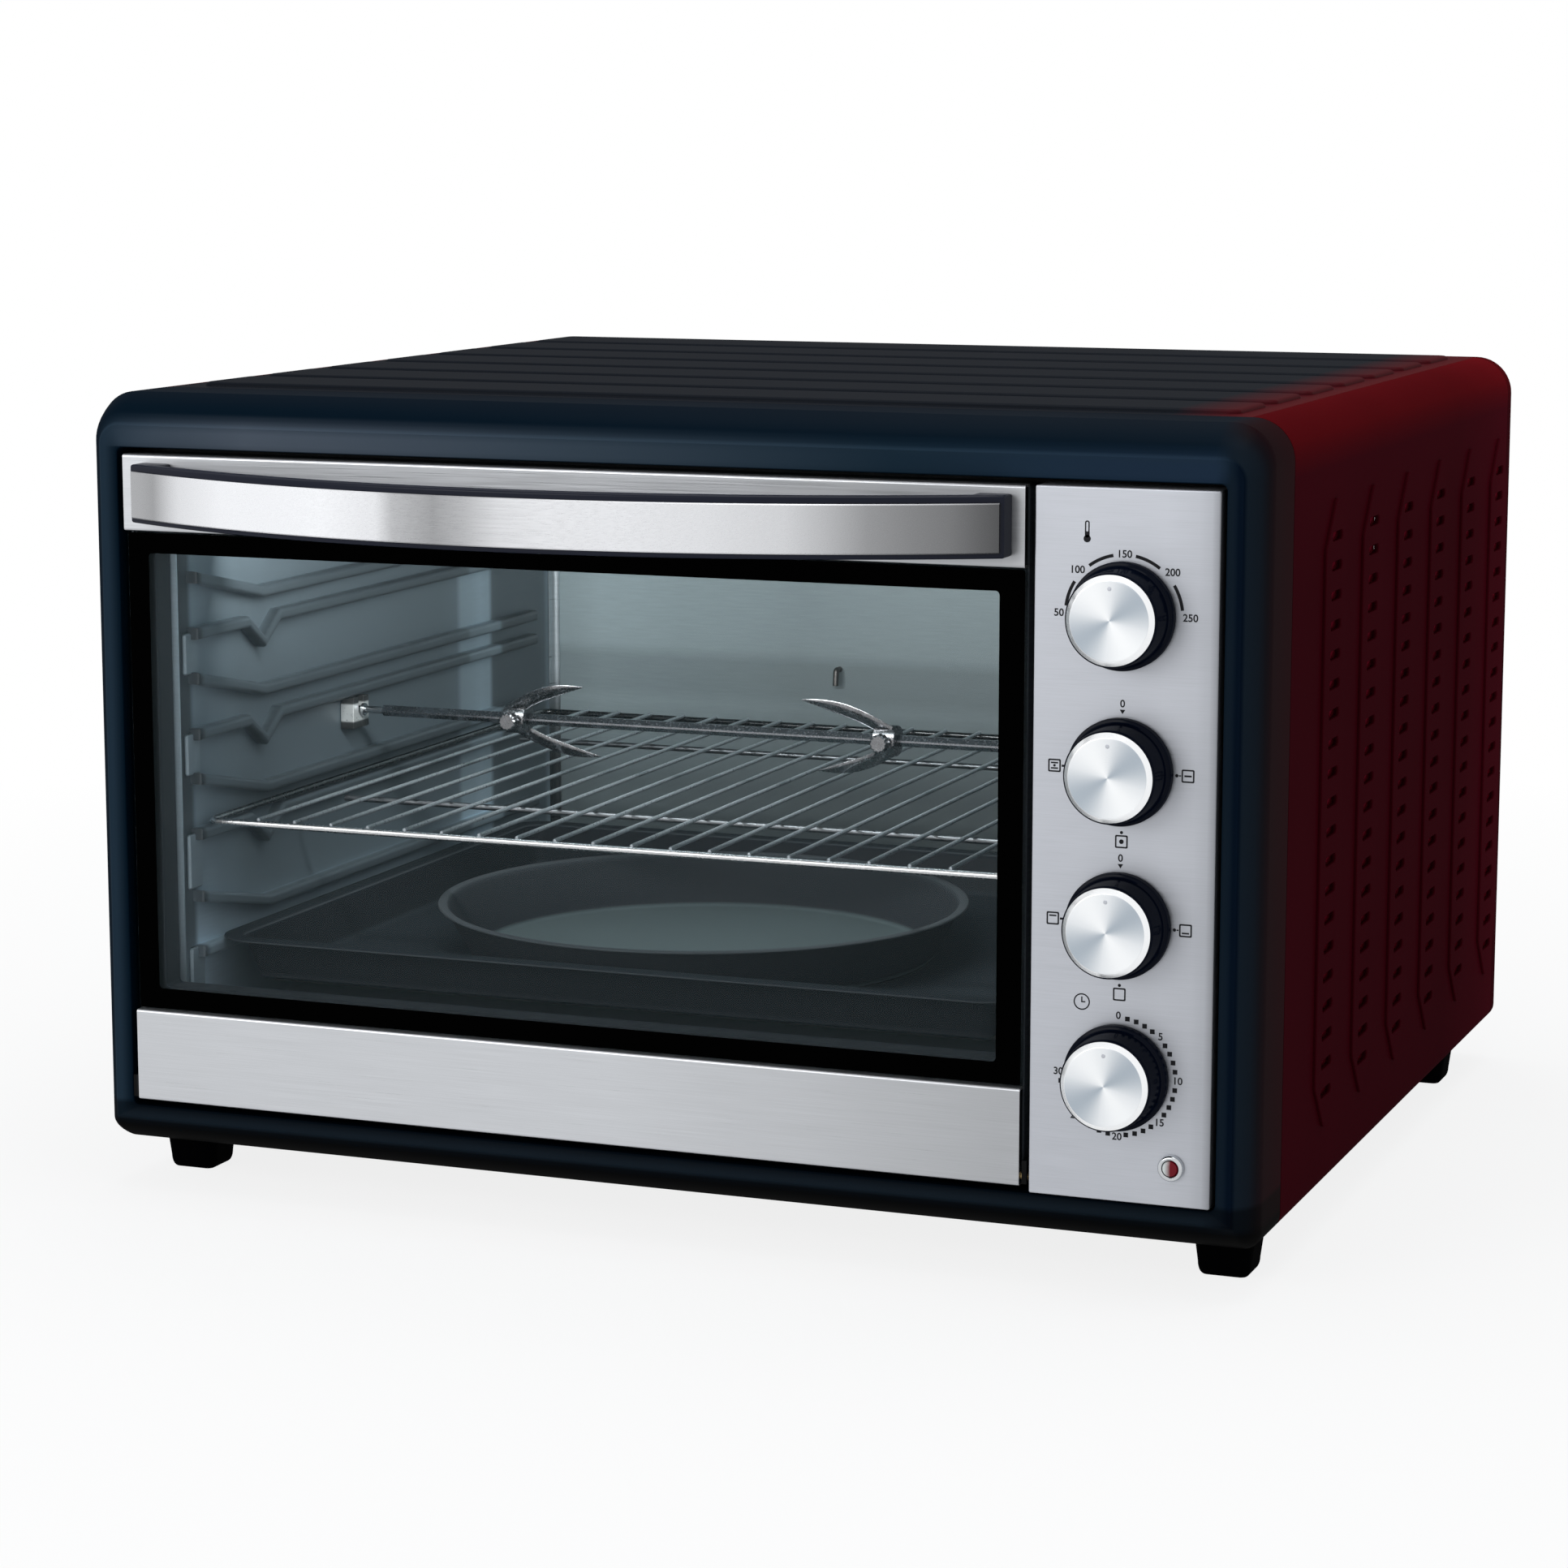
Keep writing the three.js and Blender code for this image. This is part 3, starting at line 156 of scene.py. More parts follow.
class Look(Nodes):
    """A material: one Principled shader with textures in the object's own coordinates."""

    def __init__(self, name, color, roughness, metallic=0, **sockets):
        self.material = bpy.data.materials.new(name)
        super().__init__(self.material)
        self.shader = self.tree.nodes["Principled BSDF"]
        self.color = color
        sockets |= {"Base_Color": (*color, 1), "Roughness": roughness, "Metallic": metallic}
        for socket, value in sockets.items():
            self.shader.inputs[socket.replace("_", " ")].default_value = value
        self.coords = self.node("TexCoord").outputs["Object"]

    def mapped(self, waves, shift=(0, 0, 0)):
        sockets = {"Vector": self.coords, "Location": shift, "Scale": triple(waves)}
        return self.node("Mapping", sockets).outputs["Vector"]

    def noise(self, waves, detail=3, roughness=half):
        """Noise of so many waves to the metre, one number or one for each axis."""
        sockets = {"Vector": self.mapped(waves), "Scale": 1, "Detail": detail, "Roughness": roughness}
        return self.node("TexNoise", sockets).outputs["Fac"]

    def axes(self, vector):
        return self.node("SeparateXYZ", {"Vector": vector}).outputs

    def ramp(self, source, stops):
        """Stops are pairs of a place from 0 to 1 and a colour, or one number for a grey."""
        made = self.node("ValToRGB", {"Fac": source})
        elements = made.color_ramp.elements
        while len(elements) < len(stops):
            elements.new(half)
        for element, (position, color) in zip(elements, stops):
            element.position = position
            element.color = (*triple(color), 1)
        return made.outputs["Color"]

    def blend(self, a, b, factor=1, kind="MULTIPLY"):
        sockets = {"Factor": factor, "A": a, "B": b}
        return self.node("Mix", sockets, data_type="RGBA", blend_type=kind).outputs["Result"]

    def along(self, letter, stops):
        """A colour that changes along one axis. Each stop has a place in millimetres."""
        first, last = stops[0][0], stops[-1][0]
        low, high = [place((end,) * 3)["XYZ".index(letter)] for end in (first, last)]
        share = self.spread(self.axes(self.coords)[letter], 0, 1, low, high)
        return self.ramp(share, [((at - first) / (last - first), color) for at, color in stops])

    def paint(self, color_socket):
        self.link(color_socket, self.shader.inputs["Base Color"])

    def painted(self):
        return self.shader.inputs["Base Color"].links[0].from_socket

    def shade(self, tones):
        """Tones are pairs of an axis and the stops of its shares of the colour."""
        for letter, stops in tones:
            self.paint(self.blend(self.painted(), self.along(letter, stops)))

    def soft(self, source, darkest):
        """Shares of a colour, from the darkest to 1."""
        return self.ramp(source, [(noise_low, darkest), (noise_high, 1)])

    def clouds(self):
        return self.noise(cloud_waves, detail=fine_detail)

    def vary(self, source, share):
        dark = tuple(c * (1 - share) for c in self.color)
        light = tuple(min(1, c * (1 + share)) for c in self.color)
        self.paint(self.ramp(source, [(noise_low, dark), (noise_high, light)]))

    def rough(self, source, low, high):
        spread = self.spread(source, low, high, noise_low, noise_high)
        self.link(spread, self.shader.inputs["Roughness"])

    def bump(self, source, depth, strength):
        sockets = {"Height": source, "Distance": depth * mm, "Strength": strength}
        self.link(self.node("Bump", sockets).outputs["Normal"], self.shader.inputs["Normal"])

    def brush(self, lines, low, high):
        """Roughness from low to high and a slight relief, along the brushed lines."""
        self.rough(lines, low, high)
        self.bump(lines, brush_depth, brush_strength)

    def orange_peel(self, low, high, waves=700, depth=0.02):
        """The uneven gloss and slight waves of a coat of paint."""
        self.rough(self.noise(gloss_waves), low, high)
        self.bump(self.noise(waves, detail=2), depth, peel_strength)


def brushed(name, color, roughness, grain=wall_grain, metallic=0.9, tones=(), **sockets):
    """Brushed metal, its lines along the axis with the fewest waves."""
    look = Look(name, color, roughness, metallic, **sockets)
    lines = look.noise(grain, detail=fine_detail, roughness=grain_roughness)
    look.vary(lines, tone_share)
    look.shade(tones)
    look.brush(lines, *(roughness * share for share in brush_shares))
    return look.material


def satin(weight, roughness=0.3):
    """A thin clear coat in place of the full gloss of the paint under it."""
    return {"Specular_IOR_Level": 0, "Coat_Weight": weight, "Coat_Roughness": roughness}


def painted(name, color, roughness, peel=700, depth=0.02, **sockets):
    look = Look(name, color, roughness, **sockets)
    look.vary(look.clouds(), tone_share)
    look.orange_peel(*(roughness * share for share in paint_shares), peel, depth)
    return look.material


def bright_metal(name, color, roughness, smear=0.05, metallic=1, tones=()):
    look = Look(name, color, roughness, metallic)
    look.vary(look.noise(smear_waves), smear)
    look.shade(tones)
    look.rough(look.noise(scratch_waves), *(roughness * share for share in metal_shares))
    return look.material


# Brushed steel of the door rails and spindles, darkened towards the right as painted shade
steel = brushed("steel_brushed", (0.56, 0.575, 0.6), 0.34, long_grain,
                tones=[("X", [(280, 1), (336, 0.92), (378, 0.88), (418, 0.81), (478, 0.72)])])
# Steel of the control panel, darkened over its last few millimetres at the right as painted shade
steel_panel = brushed("steel_panel", (0.465, 0.482, 0.522), 0.42, panel_grain,
                      tones=[("X", [(555, 1), (570, 0.93), (576, 0.82), (580, 0.5)])])
# Steel of the mouth plate: painted shade darkens it towards the bottom, it is near black at its ends
# and top edge, and a narrow painted highlight runs up near its left edge
chest_steel = brushed(
    "chest_steel", (0.62, 0.76, 0.84), 0.42, metallic=0.15, Specular_IOR_Level=0.1,
    tones=[("Z", [(24, 0.02), (60, 0.3), (140, 0.6), (300, 1), (318, 1), (330, 0.02)]),
           ("X", [(19, 0.02), (22, 0.02), (23.5, 1), (26, 1), (26.5, 1.9), (27.6, 1.9), (28.2, 1),
                  (476, 1), (482, 0.02)])])
cavity_look = brushed("cavity_steel", (0.24, 0.29, 0.31), 0.42, metallic=0.2)
# Steel of both side walls, with light and shade painted into its colour: a dark strip at the front of
# a dark one towards the back, much lighter low down above the tray, and the runner ridges darker as
# painted shade
# the mouth, a bright one just behind it, dimmer across the middle of the depth, a bright band and then
left_wall_look = brushed(
    "left_wall_steel", (0.245, 0.31, 0.355), 0.42, metallic=0.2,
    tones=[("Z", [(60, 2.2), (90, 2.2), (115, 1.4), (140, 1.03), (188, 0.9), (240, 1), (300, 1.1)]),
           ("X", [(38.6, 1), (41, 0.55), (46, 0.55), (60, 1), (460, 1), (470, 0.55), (477, 0.55),
                  (480.4, 1)]),
           ("Y", [(24, 0.3), (33, 0.4), (37, 1.25), (60, 0.85), (90, 0.54), (120, 0.46), (160, 0.47),
                  (240, 0.54), (320, 0.57), (340, 0.68), (346, 1.35), (360, 1.5), (372, 1.75),
                  (383, 1.65), (388, 0.48), (394, 0.38), (450, 0.36), (459, 0.42), (464, 0.9),
                  (470, 1)])])
# Steel of the back wall, with light painted in: lighter towards the left and the top, darker low down,
# and a darker band between about 176 and 194 mm up
back_wall_look = brushed(
    "back_wall_steel", (0.32, 0.385, 0.405), 0.42, metallic=0.2,
    tones=[("X", [(40, 1.3), (70, 1.5), (120, 1.15), (200, 0.8), (300, 0.72), (420, 0.68)]),
           ("Z", [(50, 0.4), (118, 0.45), (145, 0.75), (168, 0.92), (176, 0.78), (194, 0.8),
                  (202, 1.12), (260, 1.4), (300, 1.5)])])
pad_look = brushed("pad_steel", (0.3, 0.375, 0.42), 0.4, metallic=0.15)
# Steel of the corner covers, painted darker towards the bottom as shade
cover_look = brushed("cover_steel", (0.56, 0.62, 0.66), 0.34, metallic=0.6,
                     tones=[("Z", [(60, 0.05), (130, 0.07), (158, 0.25), (185, 0.9), (300, 1)])])
door_steel = brushed("door_steel", (0.05, 0.058, 0.066), 0.36, metallic=0.3, Specular_IOR_Level=0.1)
motor_look = brushed("motor_case", (0.42, 0.43, 0.44), 0.4, case_grain)

red_dark = (0.038, 0.0014, 0.0042)
# The next two lighter reds paint a highlight on the shoulders; the top sheet also fades to the first
red_highlight = (0.088, 0.0022, 0.0042)
red_turn = tuple(1.15 * c for c in red_dark)
# Red painted on the hoods inside the slots, far lighter than the casing's, as painted light in their shade
hood_red = (0.4, 0.018, 0.045)


def red_paint(name):
    """Red of the casing, with a painted highlight where the shoulders turn up."""
    look = Look(name, red_dark, 0.4, **satin(0.01))
    up = look.along("Z", [(300, red_dark), (352, red_turn), (368, red_highlight), (380, red_highlight)])
    look.paint(look.blend(up, look.soft(look.clouds(), 0.9)))
    look.orange_peel(0.34, 0.46)
    return look


def side_paint():
    """Red of the sides with painted light: lighter hoods in the slots, and lighter towards the rear."""
    look = red_paint("side_red")
    inside = look.along("X", [(1, 0), (1.4, 1), (598.6, 1), (599, 0)])
    hoods = look.along("Z", [(20, 0), (24, 1), (340, 1), (344, 0)])
    look.paint(look.blend(look.painted(), look.ramp(inside, [(0, hood_red), (1, hood_red)]),
                          look.blend(inside, hoods), "MIX"))
    # Painted light: the sides grow lighter towards the rear
    look.shade([("Y", [(20, 1), (400, 1), (490, 1.3), (530, 1.5)])])
    return look.material


def frame_paint():
    """Moulded surround: its land by the door lighter than bevel and round, as a painted reflection."""
    land = (0.0146, 0.029, 0.0457)
    dark = (0.0012, 0.0065, 0.0135)
    look = Look("frame_plastic", land, 0.4, **satin(0.03))
    step = look.along("Y", [(0, land), (0.5, land), (1.6, dark), (9, dark), (19, (0.004, 0.0085, 0.015)),
                            (52, (0.004, 0.0075, 0.013))])
    # On the right side the bevel is painted lighter than the land as light, and the round turns reddish
    # towards the back
    right = look.along("Y", [(0, (0.0012, 0.005, 0.0125)), (0.5, (0.0012, 0.005, 0.0125)),
                             (1.6, (0.0075, 0.0135, 0.021)), (7, (0.0075, 0.0115, 0.0175)),
                             (12, (0.0075, 0.006, 0.0085)), (19, (0.012, 0.0032, 0.0045)),
                             (52, (0.017, 0.0016, 0.003))])
    side = look.along("X", [(576, 0), (588, 1)])
    # Painted shade: the frame darkens towards the bottom
    low = look.along("Z", [(4, 0.02), (9, 0.06), (13, 0.32), (21.5, 0.36), (24, 1)])
    # Painted highlight along the band above the door, brightest left of the middle
    upper = look.along("X", [(10, land), (40, (0.05, 0.07, 0.095)), (90, (0.088, 0.11, 0.142)),
                             (263, (0.045, 0.066, 0.09)), (425, (0.013, 0.029, 0.047)),
                             (540, (0.0134, 0.0275, 0.051))])
    share = look.along("Z", [(353.2, 0), (353.8, 0.8), (356, 1), (361, 1), (364.5, 0.55), (368, 0.16),
                             (371, 0)])
    beside = look.along("X", [(8, 0), (20, 1), (577, 1), (584, 0)])
    front = look.along("Y", [(4.5, 1), (6, 0)])
    base = look.blend(look.blend(step, right, side, "MIX"), low)
    look.paint(look.blend(base, upper, look.blend(look.blend(share, beside), front), "MIX"))
    look.orange_peel(0.34, 0.46, 1500, 0.015)
    return look.material


def top_paint():
    """Black top sheet whose right end fades to red, as in the photograph."""
    dark = (0.0085, 0.0105, 0.0145)
    look = Look("top_paint", dark, 0.42, **satin(0.04))
    # Its right end fades to the lighter red of the shoulders' painted highlight
    look.paint(look.along("X", [(540, dark), (583, red_highlight)]))
    look.orange_peel(0.36, 0.48)
    return look.material


def enamel(name, stops):
    """Dark enamel, its tone set by the height; the tones include painted light."""
    look = Look(name, stops[0][1], 0.36, **satin(0.02))
    look.paint(look.blend(look.along("Z", stops), look.soft(look.clouds(), 0.92)))
    look.rough(look.noise(gloss_waves), 0.32, 0.42)
    return look.material


red = red_paint("panel_red").material
side_red = side_paint()
frame_plastic = frame_paint()
top_look = top_paint()
black_paint = painted("black_paint", (0.003, 0.0032, 0.004), 0.45, **satin(0.03))
rubber = painted("foot_rubber", (0.0006, 0.0006, 0.0008), 0.6, 2200, 0.03, **satin(0.01))
gland_plastic = painted("gland_plastic", (0.01, 0.01, 0.011), 0.55, 1800, **satin(0.2))
knob_gloss = painted("knob_gloss", (0.0018, 0.0035, 0.0095), 0.2, 300, 0.003, **satin(0.1, 0.12))
handle_paint = painted("handle_paint", (0.006, 0.008, 0.018), 0.3, 900, **satin(0.3))
switch_plastic = painted("switch_plastic", (0.03, 0.03, 0.034), 0.5)
ink = painted("dial_ink", (0.018, 0.018, 0.02), 0.5, **satin(0.1))
glass_print = painted("glass_print", (0.0003, 0.0003, 0.0003), 0.12, depth=0.002, **satin(0.008, 0.05))
chrome = bright_metal("chrome_bright", (0.55, 0.57, 0.59), 0.16)
# The rack's frame, cross bars and wires are one chrome, painted as lit and shaded copies: the frame
# bright at the front and darker towards the back, the cross bars dark, and the wires lighter
rack_look = bright_metal("rack_chrome", (0.66, 0.67, 0.68), 0.2,
                         tones=[("Y", [(54, 1), (62, 0.75), (90, 0.3), (200, 0.16), (440, 0.12)])])
cross_bar_look = bright_metal("cross_bar_chrome", (0.16, 0.17, 0.18), 0.34)
wire_look = bright_metal("wire_chrome", (0.42, 0.46, 0.49), 0.3, metallic=0.55)
spit_steel = bright_metal("spit_steel", (0.26, 0.27, 0.29), 0.2, smear=0.12)
fork_steel = bright_metal("fork_steel", (0.26, 0.26, 0.27), 0.2, smear=0.2)
# Steel of the rod rest: a painted highlight in a band level with the spit, near black above and below
rest_look = bright_metal("rest_steel", (0.8, 0.81, 0.8), 0.34, metallic=0.5,
                         tones=[("Z", [(188, 0.05), (190, 0.08), (191, 1), (199.6, 1), (200.6, 0.08),
                                       (204, 0.05)])])
brass = bright_metal("pin_brass", (0.6, 0.43, 0.2), 0.25, smear=0.1)
heater_look = bright_metal("heater_sheath", (0.14, 0.13, 0.125), 0.42, smear=0.25)


# A shape is a list of points and a list of faces, which give the numbers of their points
def joined(parts):
    points = []
    faces = []
    for part_points, part_faces in parts:
        faces += [tuple(len(points) + i for i in face) for face in part_faces]
        points += part_points
    return points, faces


def moved(part, move):
    points, faces = part
    return [move(p) for p in points], faces


def loft(rings, hoop=False):
    """Rings of equally many points, joined in order, and capped unless they close to a hoop."""
    count = len(rings[0])
    points = [p for ring in rings for p in ring]
    faces = []
    for k in range(len(rings) if hoop else len(rings) - 1):
        n = (k + 1) % len(rings)
        for i in range(count):
            j = (i + 1) % count
            faces.append((k * count + i, k * count + j, n * count + j, n * count + i))
    if not hoop:
        last = (len(rings) - 1) * count
        faces.append(tuple(reversed(range(count))))
        faces.append(tuple(last + i for i in range(count)))
    return points, faces


def circle(a, b, radius, sides=32):
    turns = [full_turn * i / sides for i in range(sides)]
    return [(a + radius * math.cos(t), b + radius * math.sin(t)) for t in turns]


def lathe(profile, at, sides=64, direction="y"):
    """A profile of (radius, distance) turned about an axis through at."""
    x, y, z = at
    points = []
    faces = []
    rows = []
    for radius, along in profile:
        ring = circle(0, 0, radius, sides if radius > 0 else 1)
        rows.append(range(len(points), len(points) + len(ring)))
        for a, b in ring:
            offset = {"x": (along, a, b), "y": (a, along, b), "z": (a, b, along)}[direction]
            points.append((x + offset[0], y + offset[1], z + offset[2]))
    for first, second in zip(rows, rows[1:]):
        for i in range(sides):
            j = (i + 1) % sides
            corners = [first[i % len(first)], first[j % len(first)]]
            corners += [second[j % len(second)], second[i % len(second)]]
            unique = list(dict.fromkeys(corners))
            if len(unique) > 2:
                faces.append(tuple(unique))
    return points, faces


def rod(a, b, at, radius, direction="x", edge=0.3, sides=32):
    """A round bar from a to b along one axis, with its end edges broken."""
    profile = [(0, a), (radius - edge, a), (radius, a + edge), (radius, b - edge)]
    return lathe(profile + [(radius - edge, b), (0, b)], at, sides, direction)


def block(x0, x1, y0, y1, z0, z1, edge):
    """A box whose edges are all broken by edge."""
    def ring(inset, z):
        xa, xb, ya, yb = x0 + inset, x1 - inset, y0 + inset, y1 - inset
        return [(xa + edge, ya, z), (xb - edge, ya, z), (xb, ya + edge, z), (xb, yb - edge, z),
                (xb - edge, yb, z), (xa + edge, yb, z), (xa, yb - edge, z), (xa, ya + edge, z)]
    return loft([ring(edge, z0), ring(0, z0 + edge), ring(0, z1 - edge), ring(edge, z1)])


def curve_points(points, steps):
    """A smooth curve through the points."""
    vectors = [Vector(p) for p in points]
    ends = [vectors[0] * 2 - vectors[1], *vectors, vectors[-1] * 2 - vectors[-2]]
    made = []
    for k in range(1, len(ends) - 2):
        p0, p1, p2, p3 = ends[k - 1:k + 3]
        for i in range(steps):
            t = i / steps
            a = 2 * p1 + (p2 - p0) * t
            b = (2 * p0 - 5 * p1 + 4 * p2 - p3) * t * t
            c = (3 * p1 - p0 - 3 * p2 + p3) * t * t * t
            made.append((a + b + c) * half)
    made.append(vectors[-1])
    return made


def bent(points, radius, steps=6, closed=False):
    """Straight runs joined by arcs of one radius."""
    vectors = [Vector(p) for p in points]
    count = len(vectors)
    made = []
    for i, corner in enumerate(vectors):
        if not closed and i in (0, count - 1):
            made.append(corner)
            continue
        before = (vectors[i - 1] - corner).normalized()
        after = (vectors[(i + 1) % count] - corner).normalized()
        angle = before.angle(after)
        reach = radius / math.tan(angle / 2)
        start = corner + before * reach
        end = corner + after * reach
        centre = corner + (before + after).normalized() * (radius / math.sin(angle / 2))
        for k in range(steps + 1):
            spoke = (start - centre).slerp(end - centre, k / steps).normalized()
            made.append(centre + spoke * radius)
    return made


def tube(path, radius, sides, closed=False, flat=1, up=(0, 0, 1)):
    """A bar along a path. radius is one number or one for each point; flat thins it along up."""
    path = [Vector(p) for p in path]
    count = len(path)
    radii = radius if isinstance(radius, list) else [radius] * count
    normal = Vector(up)
    rings = []
    for i, point in enumerate(path):
        before = path[i - 1] if closed or i > 0 else point
        after = path[(i + 1) % count] if closed or i < count - 1 else point
        along = (after - before).normalized()
        normal = (normal - along * normal.dot(along)).normalized()
        side = along.cross(normal)
        ring = []
        for a, b in circle(0, 0, 1, sides):
            ring.append(tuple(point + (normal * a * flat + side * b) * radii[i]))
        rings.append(ring)
    return loft(rings, hoop=closed)


def arc(centre, radius, start, steps):
    """A quarter turn from the start angle."""
    turns = [start + quarter_turn * i / steps for i in range(steps + 1)]
    return [(centre[0] + radius * math.cos(t), centre[1] + radius * math.sin(t)) for t in turns]


def rounded(a0, a1, b0, b1, top, bottom=None, steps=12):
    """A rectangle with round corners, as points (a, b)."""
    bottom = top if bottom is None else bottom
    return (arc((a1 - bottom, b0 + bottom), bottom, -quarter_turn, steps)
            + arc((a1 - top, b1 - top), top, 0, steps)
            + arc((a0 + top, b1 - top), top, quarter_turn, steps)
            + arc((a0 + bottom, b0 + bottom), bottom, math.pi, steps))


def curve_shape(curve, where):
    """The mesh of a flat curve. where(a, b, w) gives the place of each of its points."""
    carrier = added("curve", curve)
    evaluated = carrier.evaluated_get(bpy.context.evaluated_depsgraph_get())
    mesh = bpy.data.meshes.new_from_object(evaluated)
    points = [where(*v.co) for v in mesh.vertices]
    faces = [tuple(p.vertices) for p in mesh.polygons]
    bpy.data.objects.remove(carrier)
    bpy.data.curves.remove(curve)
    bpy.data.meshes.remove(mesh)
    return points, faces


def plate(outline, holes, thickness, edge, where):
    """A flat plate with holes, its edges rounded. where(a, b, w) gives the point in millimetres;
    w runs from 0 to the thickness."""
    curve = bpy.data.curves.new("plate", "CURVE")
    curve.dimensions = "2D"
    curve.fill_mode = "BOTH"
    curve.extrude = max(thickness * half - edge, 0)
    curve.bevel_depth = edge
    curve.bevel_resolution = 2
    curve.offset = -edge
    for line in [outline, *holes]:
        spline = curve.splines.new("POLY")
        spline.points.add(len(line) - 1)
        for point, (a, b) in zip(spline.points, line):
            point.co = (a, b, 0, 1)
        spline.use_cyclic_u = True
    return curve_shape(curve, lambda a, b, w: where(a, b, w + thickness * half))


# Edges sharper than these angles stay sharp
smooth_angle = 35
frame_angle = 24
sheet_angle = 30
round_angle = 40
fork_angle = 45
wire_angle = 60
even_weight = 60
weld_distance = 0.001


def finished(name, mesh, look, body, node, smooth):
    """Makes the object of a mesh. Its large flat faces shade flat and its broken edges round."""
    mesh.materials.append(look)
    mesh.shade_smooth()
    mesh.set_sharp_from_angle(angle=math.radians(smooth))
    obj = added(name, mesh)
    modifier = obj.modifiers.new("even_shading", "WEIGHTED_NORMAL")
    modifier.keep_sharp = True
    modifier.weight = even_weight
    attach(obj, body)
    if node:
        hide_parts(node)


def piece(name, shape, look, body, node=None, smooth=smooth_angle, weld=weld_distance):
    """Makes one object of a shape, which may stand for a CAD node. Its faces are turned outwards."""
    points, faces = shape
    mesh = bpy.data.meshes.new(name)
    mesh.from_pydata([place(p) for p in points], [], faces)
    mesh.validate()
    made = bmesh.new()
    made.from_mesh(mesh)
    bmesh.ops.remove_doubles(made, verts=made.verts, dist=weld * mm)
    bmesh.ops.recalc_face_normals(made, faces=made.faces)
    made.to_mesh(mesh)
    made.free()
    finished(name, mesh, look, body, node, smooth)


def dress(node, look):
    """Gives a CAD node its material."""
    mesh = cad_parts[node].data
    mesh.materials.clear()
    mesh.materials.append(look)


node_weld = 0.01
flat_angle = 1
sharp_angle = 25
edge_segments = 2
round_sides = 48
screw_sides = 24


def softened(node, name, look, body, width, segments, chosen=None):
    """A copy of a CAD node with broken edges, which stands for that node."""
    mesh = bpy.data.meshes.new(name)
    made = bmesh.new()
    made.from_mesh(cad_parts[node].data)
    bmesh.ops.remove_doubles(made, verts=made.verts, dist=node_weld * mm)
    bmesh.ops.dissolve_limit(made, angle_limit=math.radians(flat_angle), verts=made.verts,
                             edges=made.edges)
    edges = []
    for edge in made.edges:
        if len(edge.link_faces) != 2 or edge.calc_face_angle(0) < math.radians(sharp_angle):
            continue
        a, b = [(v.co - home) / mm for v in edge.verts]
        if chosen is None or chosen(a, b):
            edges.append(edge)
    bmesh.ops.bevel(made, geom=edges, offset=width * mm, offset_type="OFFSET",
                    segments=segments, profile=half, affect="EDGES", clamp_overlap=True)
    made.to_mesh(mesh)
    made.free()
    finished(name, mesh, look, body, node, smooth_angle)


# Casing
body_x1, frame_back, body_z1 = node_box("front_frame")[1::2]
rear_front, rear_back = node_box("rear_cover")[2:4]
panel_gap = 0.3
panels_front = frame_back + panel_gap
panels_back = rear_front - panel_gap
sheet = 1
top_radius = 20
bottom_radius = 9
least_radius = 1
opening = (18.5, 582, 21, 353)
opening_radius = 3


def casing_ring(side, top, bottom, y):
    points = rounded(side, body_x1 - side, bottom, body_z1 - top,
                     max(top_radius - side, least_radius), max(bottom_radius - side, least_radius))
    return [(x, y, z) for x, z in points]


def even_ring(inset, y):
    return casing_ring(inset, inset, inset, y)


def opening_ring(grow, y):
    x0, x1, z0, z1 = opening
    points = rounded(x0 - grow, x1 + grow, z0 - grow, z1 + grow, opening_radius + grow)
    return [(x, y, z) for x, z in points]


# Insets of the crease and of the foot of the bevel from the side, the top and the bottom
crease = (10, 15.5, 14.5)
crease_land = 0.7
crease_dip = 0.12
bevel = (1.2, 5, 4.5)
bevel_depth = 9
bevel_start_share = 0.07
bevel_pull_share = 0.45
round_depth = 19
round_steps = 9
frame_wall = 2.5
wall_depth = 1.3
back_edge = 0.4
back_edge_depth = 0.5
return_back = 22.7
lip_back = 4
lip_rings = [(0, return_back), (0, 2.6), (0.2, 1.9), (0.7, 1.55), (1.3, 1.5)]


def between(a, b, share):
    return tuple(p + (q - p) * share for p, q in zip(a, b))


def front_surround():
    start = (*crease, 0)
    corner = (*bevel, bevel_depth)
    end = (0, 0, 0, round_depth)
    near = between(start, corner, bevel_pull_share)
    outside = [(*(c + crease_land for c in crease), crease_dip), start,
               between(start, corner, bevel_start_share)]
    for i in range(round_steps + 1):
        t = i / round_steps
        outside.append(between(between(near, corner, t), between(corner, end, t), t))
    rings = [opening_ring(*ring) for ring in lip_rings]
    rings += [casing_ring(*ring) for ring in outside]
    rings += [even_ring(0, frame_back - back_edge_depth), even_ring(back_edge, frame_back),
              even_ring(frame_wall, frame_back), even_ring(frame_wall, round_depth + wall_depth),
              casing_ring(*(c + frame_wall for c in bevel), bevel_depth + wall_depth),
              casing_ring(*crease, frame_wall), opening_ring(frame_wall, lip_back),
              opening_ring(frame_wall, return_back)]
    return loft(rings, hoop=True)


piece("front_surround", front_surround(), frame_plastic, "body", "front_frame", frame_angle)

# Side sheets: raised channels with louvre slots, and a hood behind each slot
channel_count = 6
channel_width = 42
channel_front_inset = 57
channel_back_inset = 3
channel_press = 1.5
channel_edge = 0.7
channel_bottom = 29.5
channel_top = body_z1 - 40
channel_tip = 26
channel_bend = 5
louvre_count = 20
louvre_pitch = 14.15
louvre_first = 50
louvre_width = 19.5
louvre_height = 4.4
louvre_round_share = 0.98
louvre_clearance = 0.2
louvre_heights = [louvre_first + i * louvre_pitch for i in range(louvre_count)]
blade_reach = 2.4
blade_drop = 6.4
blade_wall = 0.5
blade_lip = 0.6
blade_root = 0.4
blade_rise = 0.7


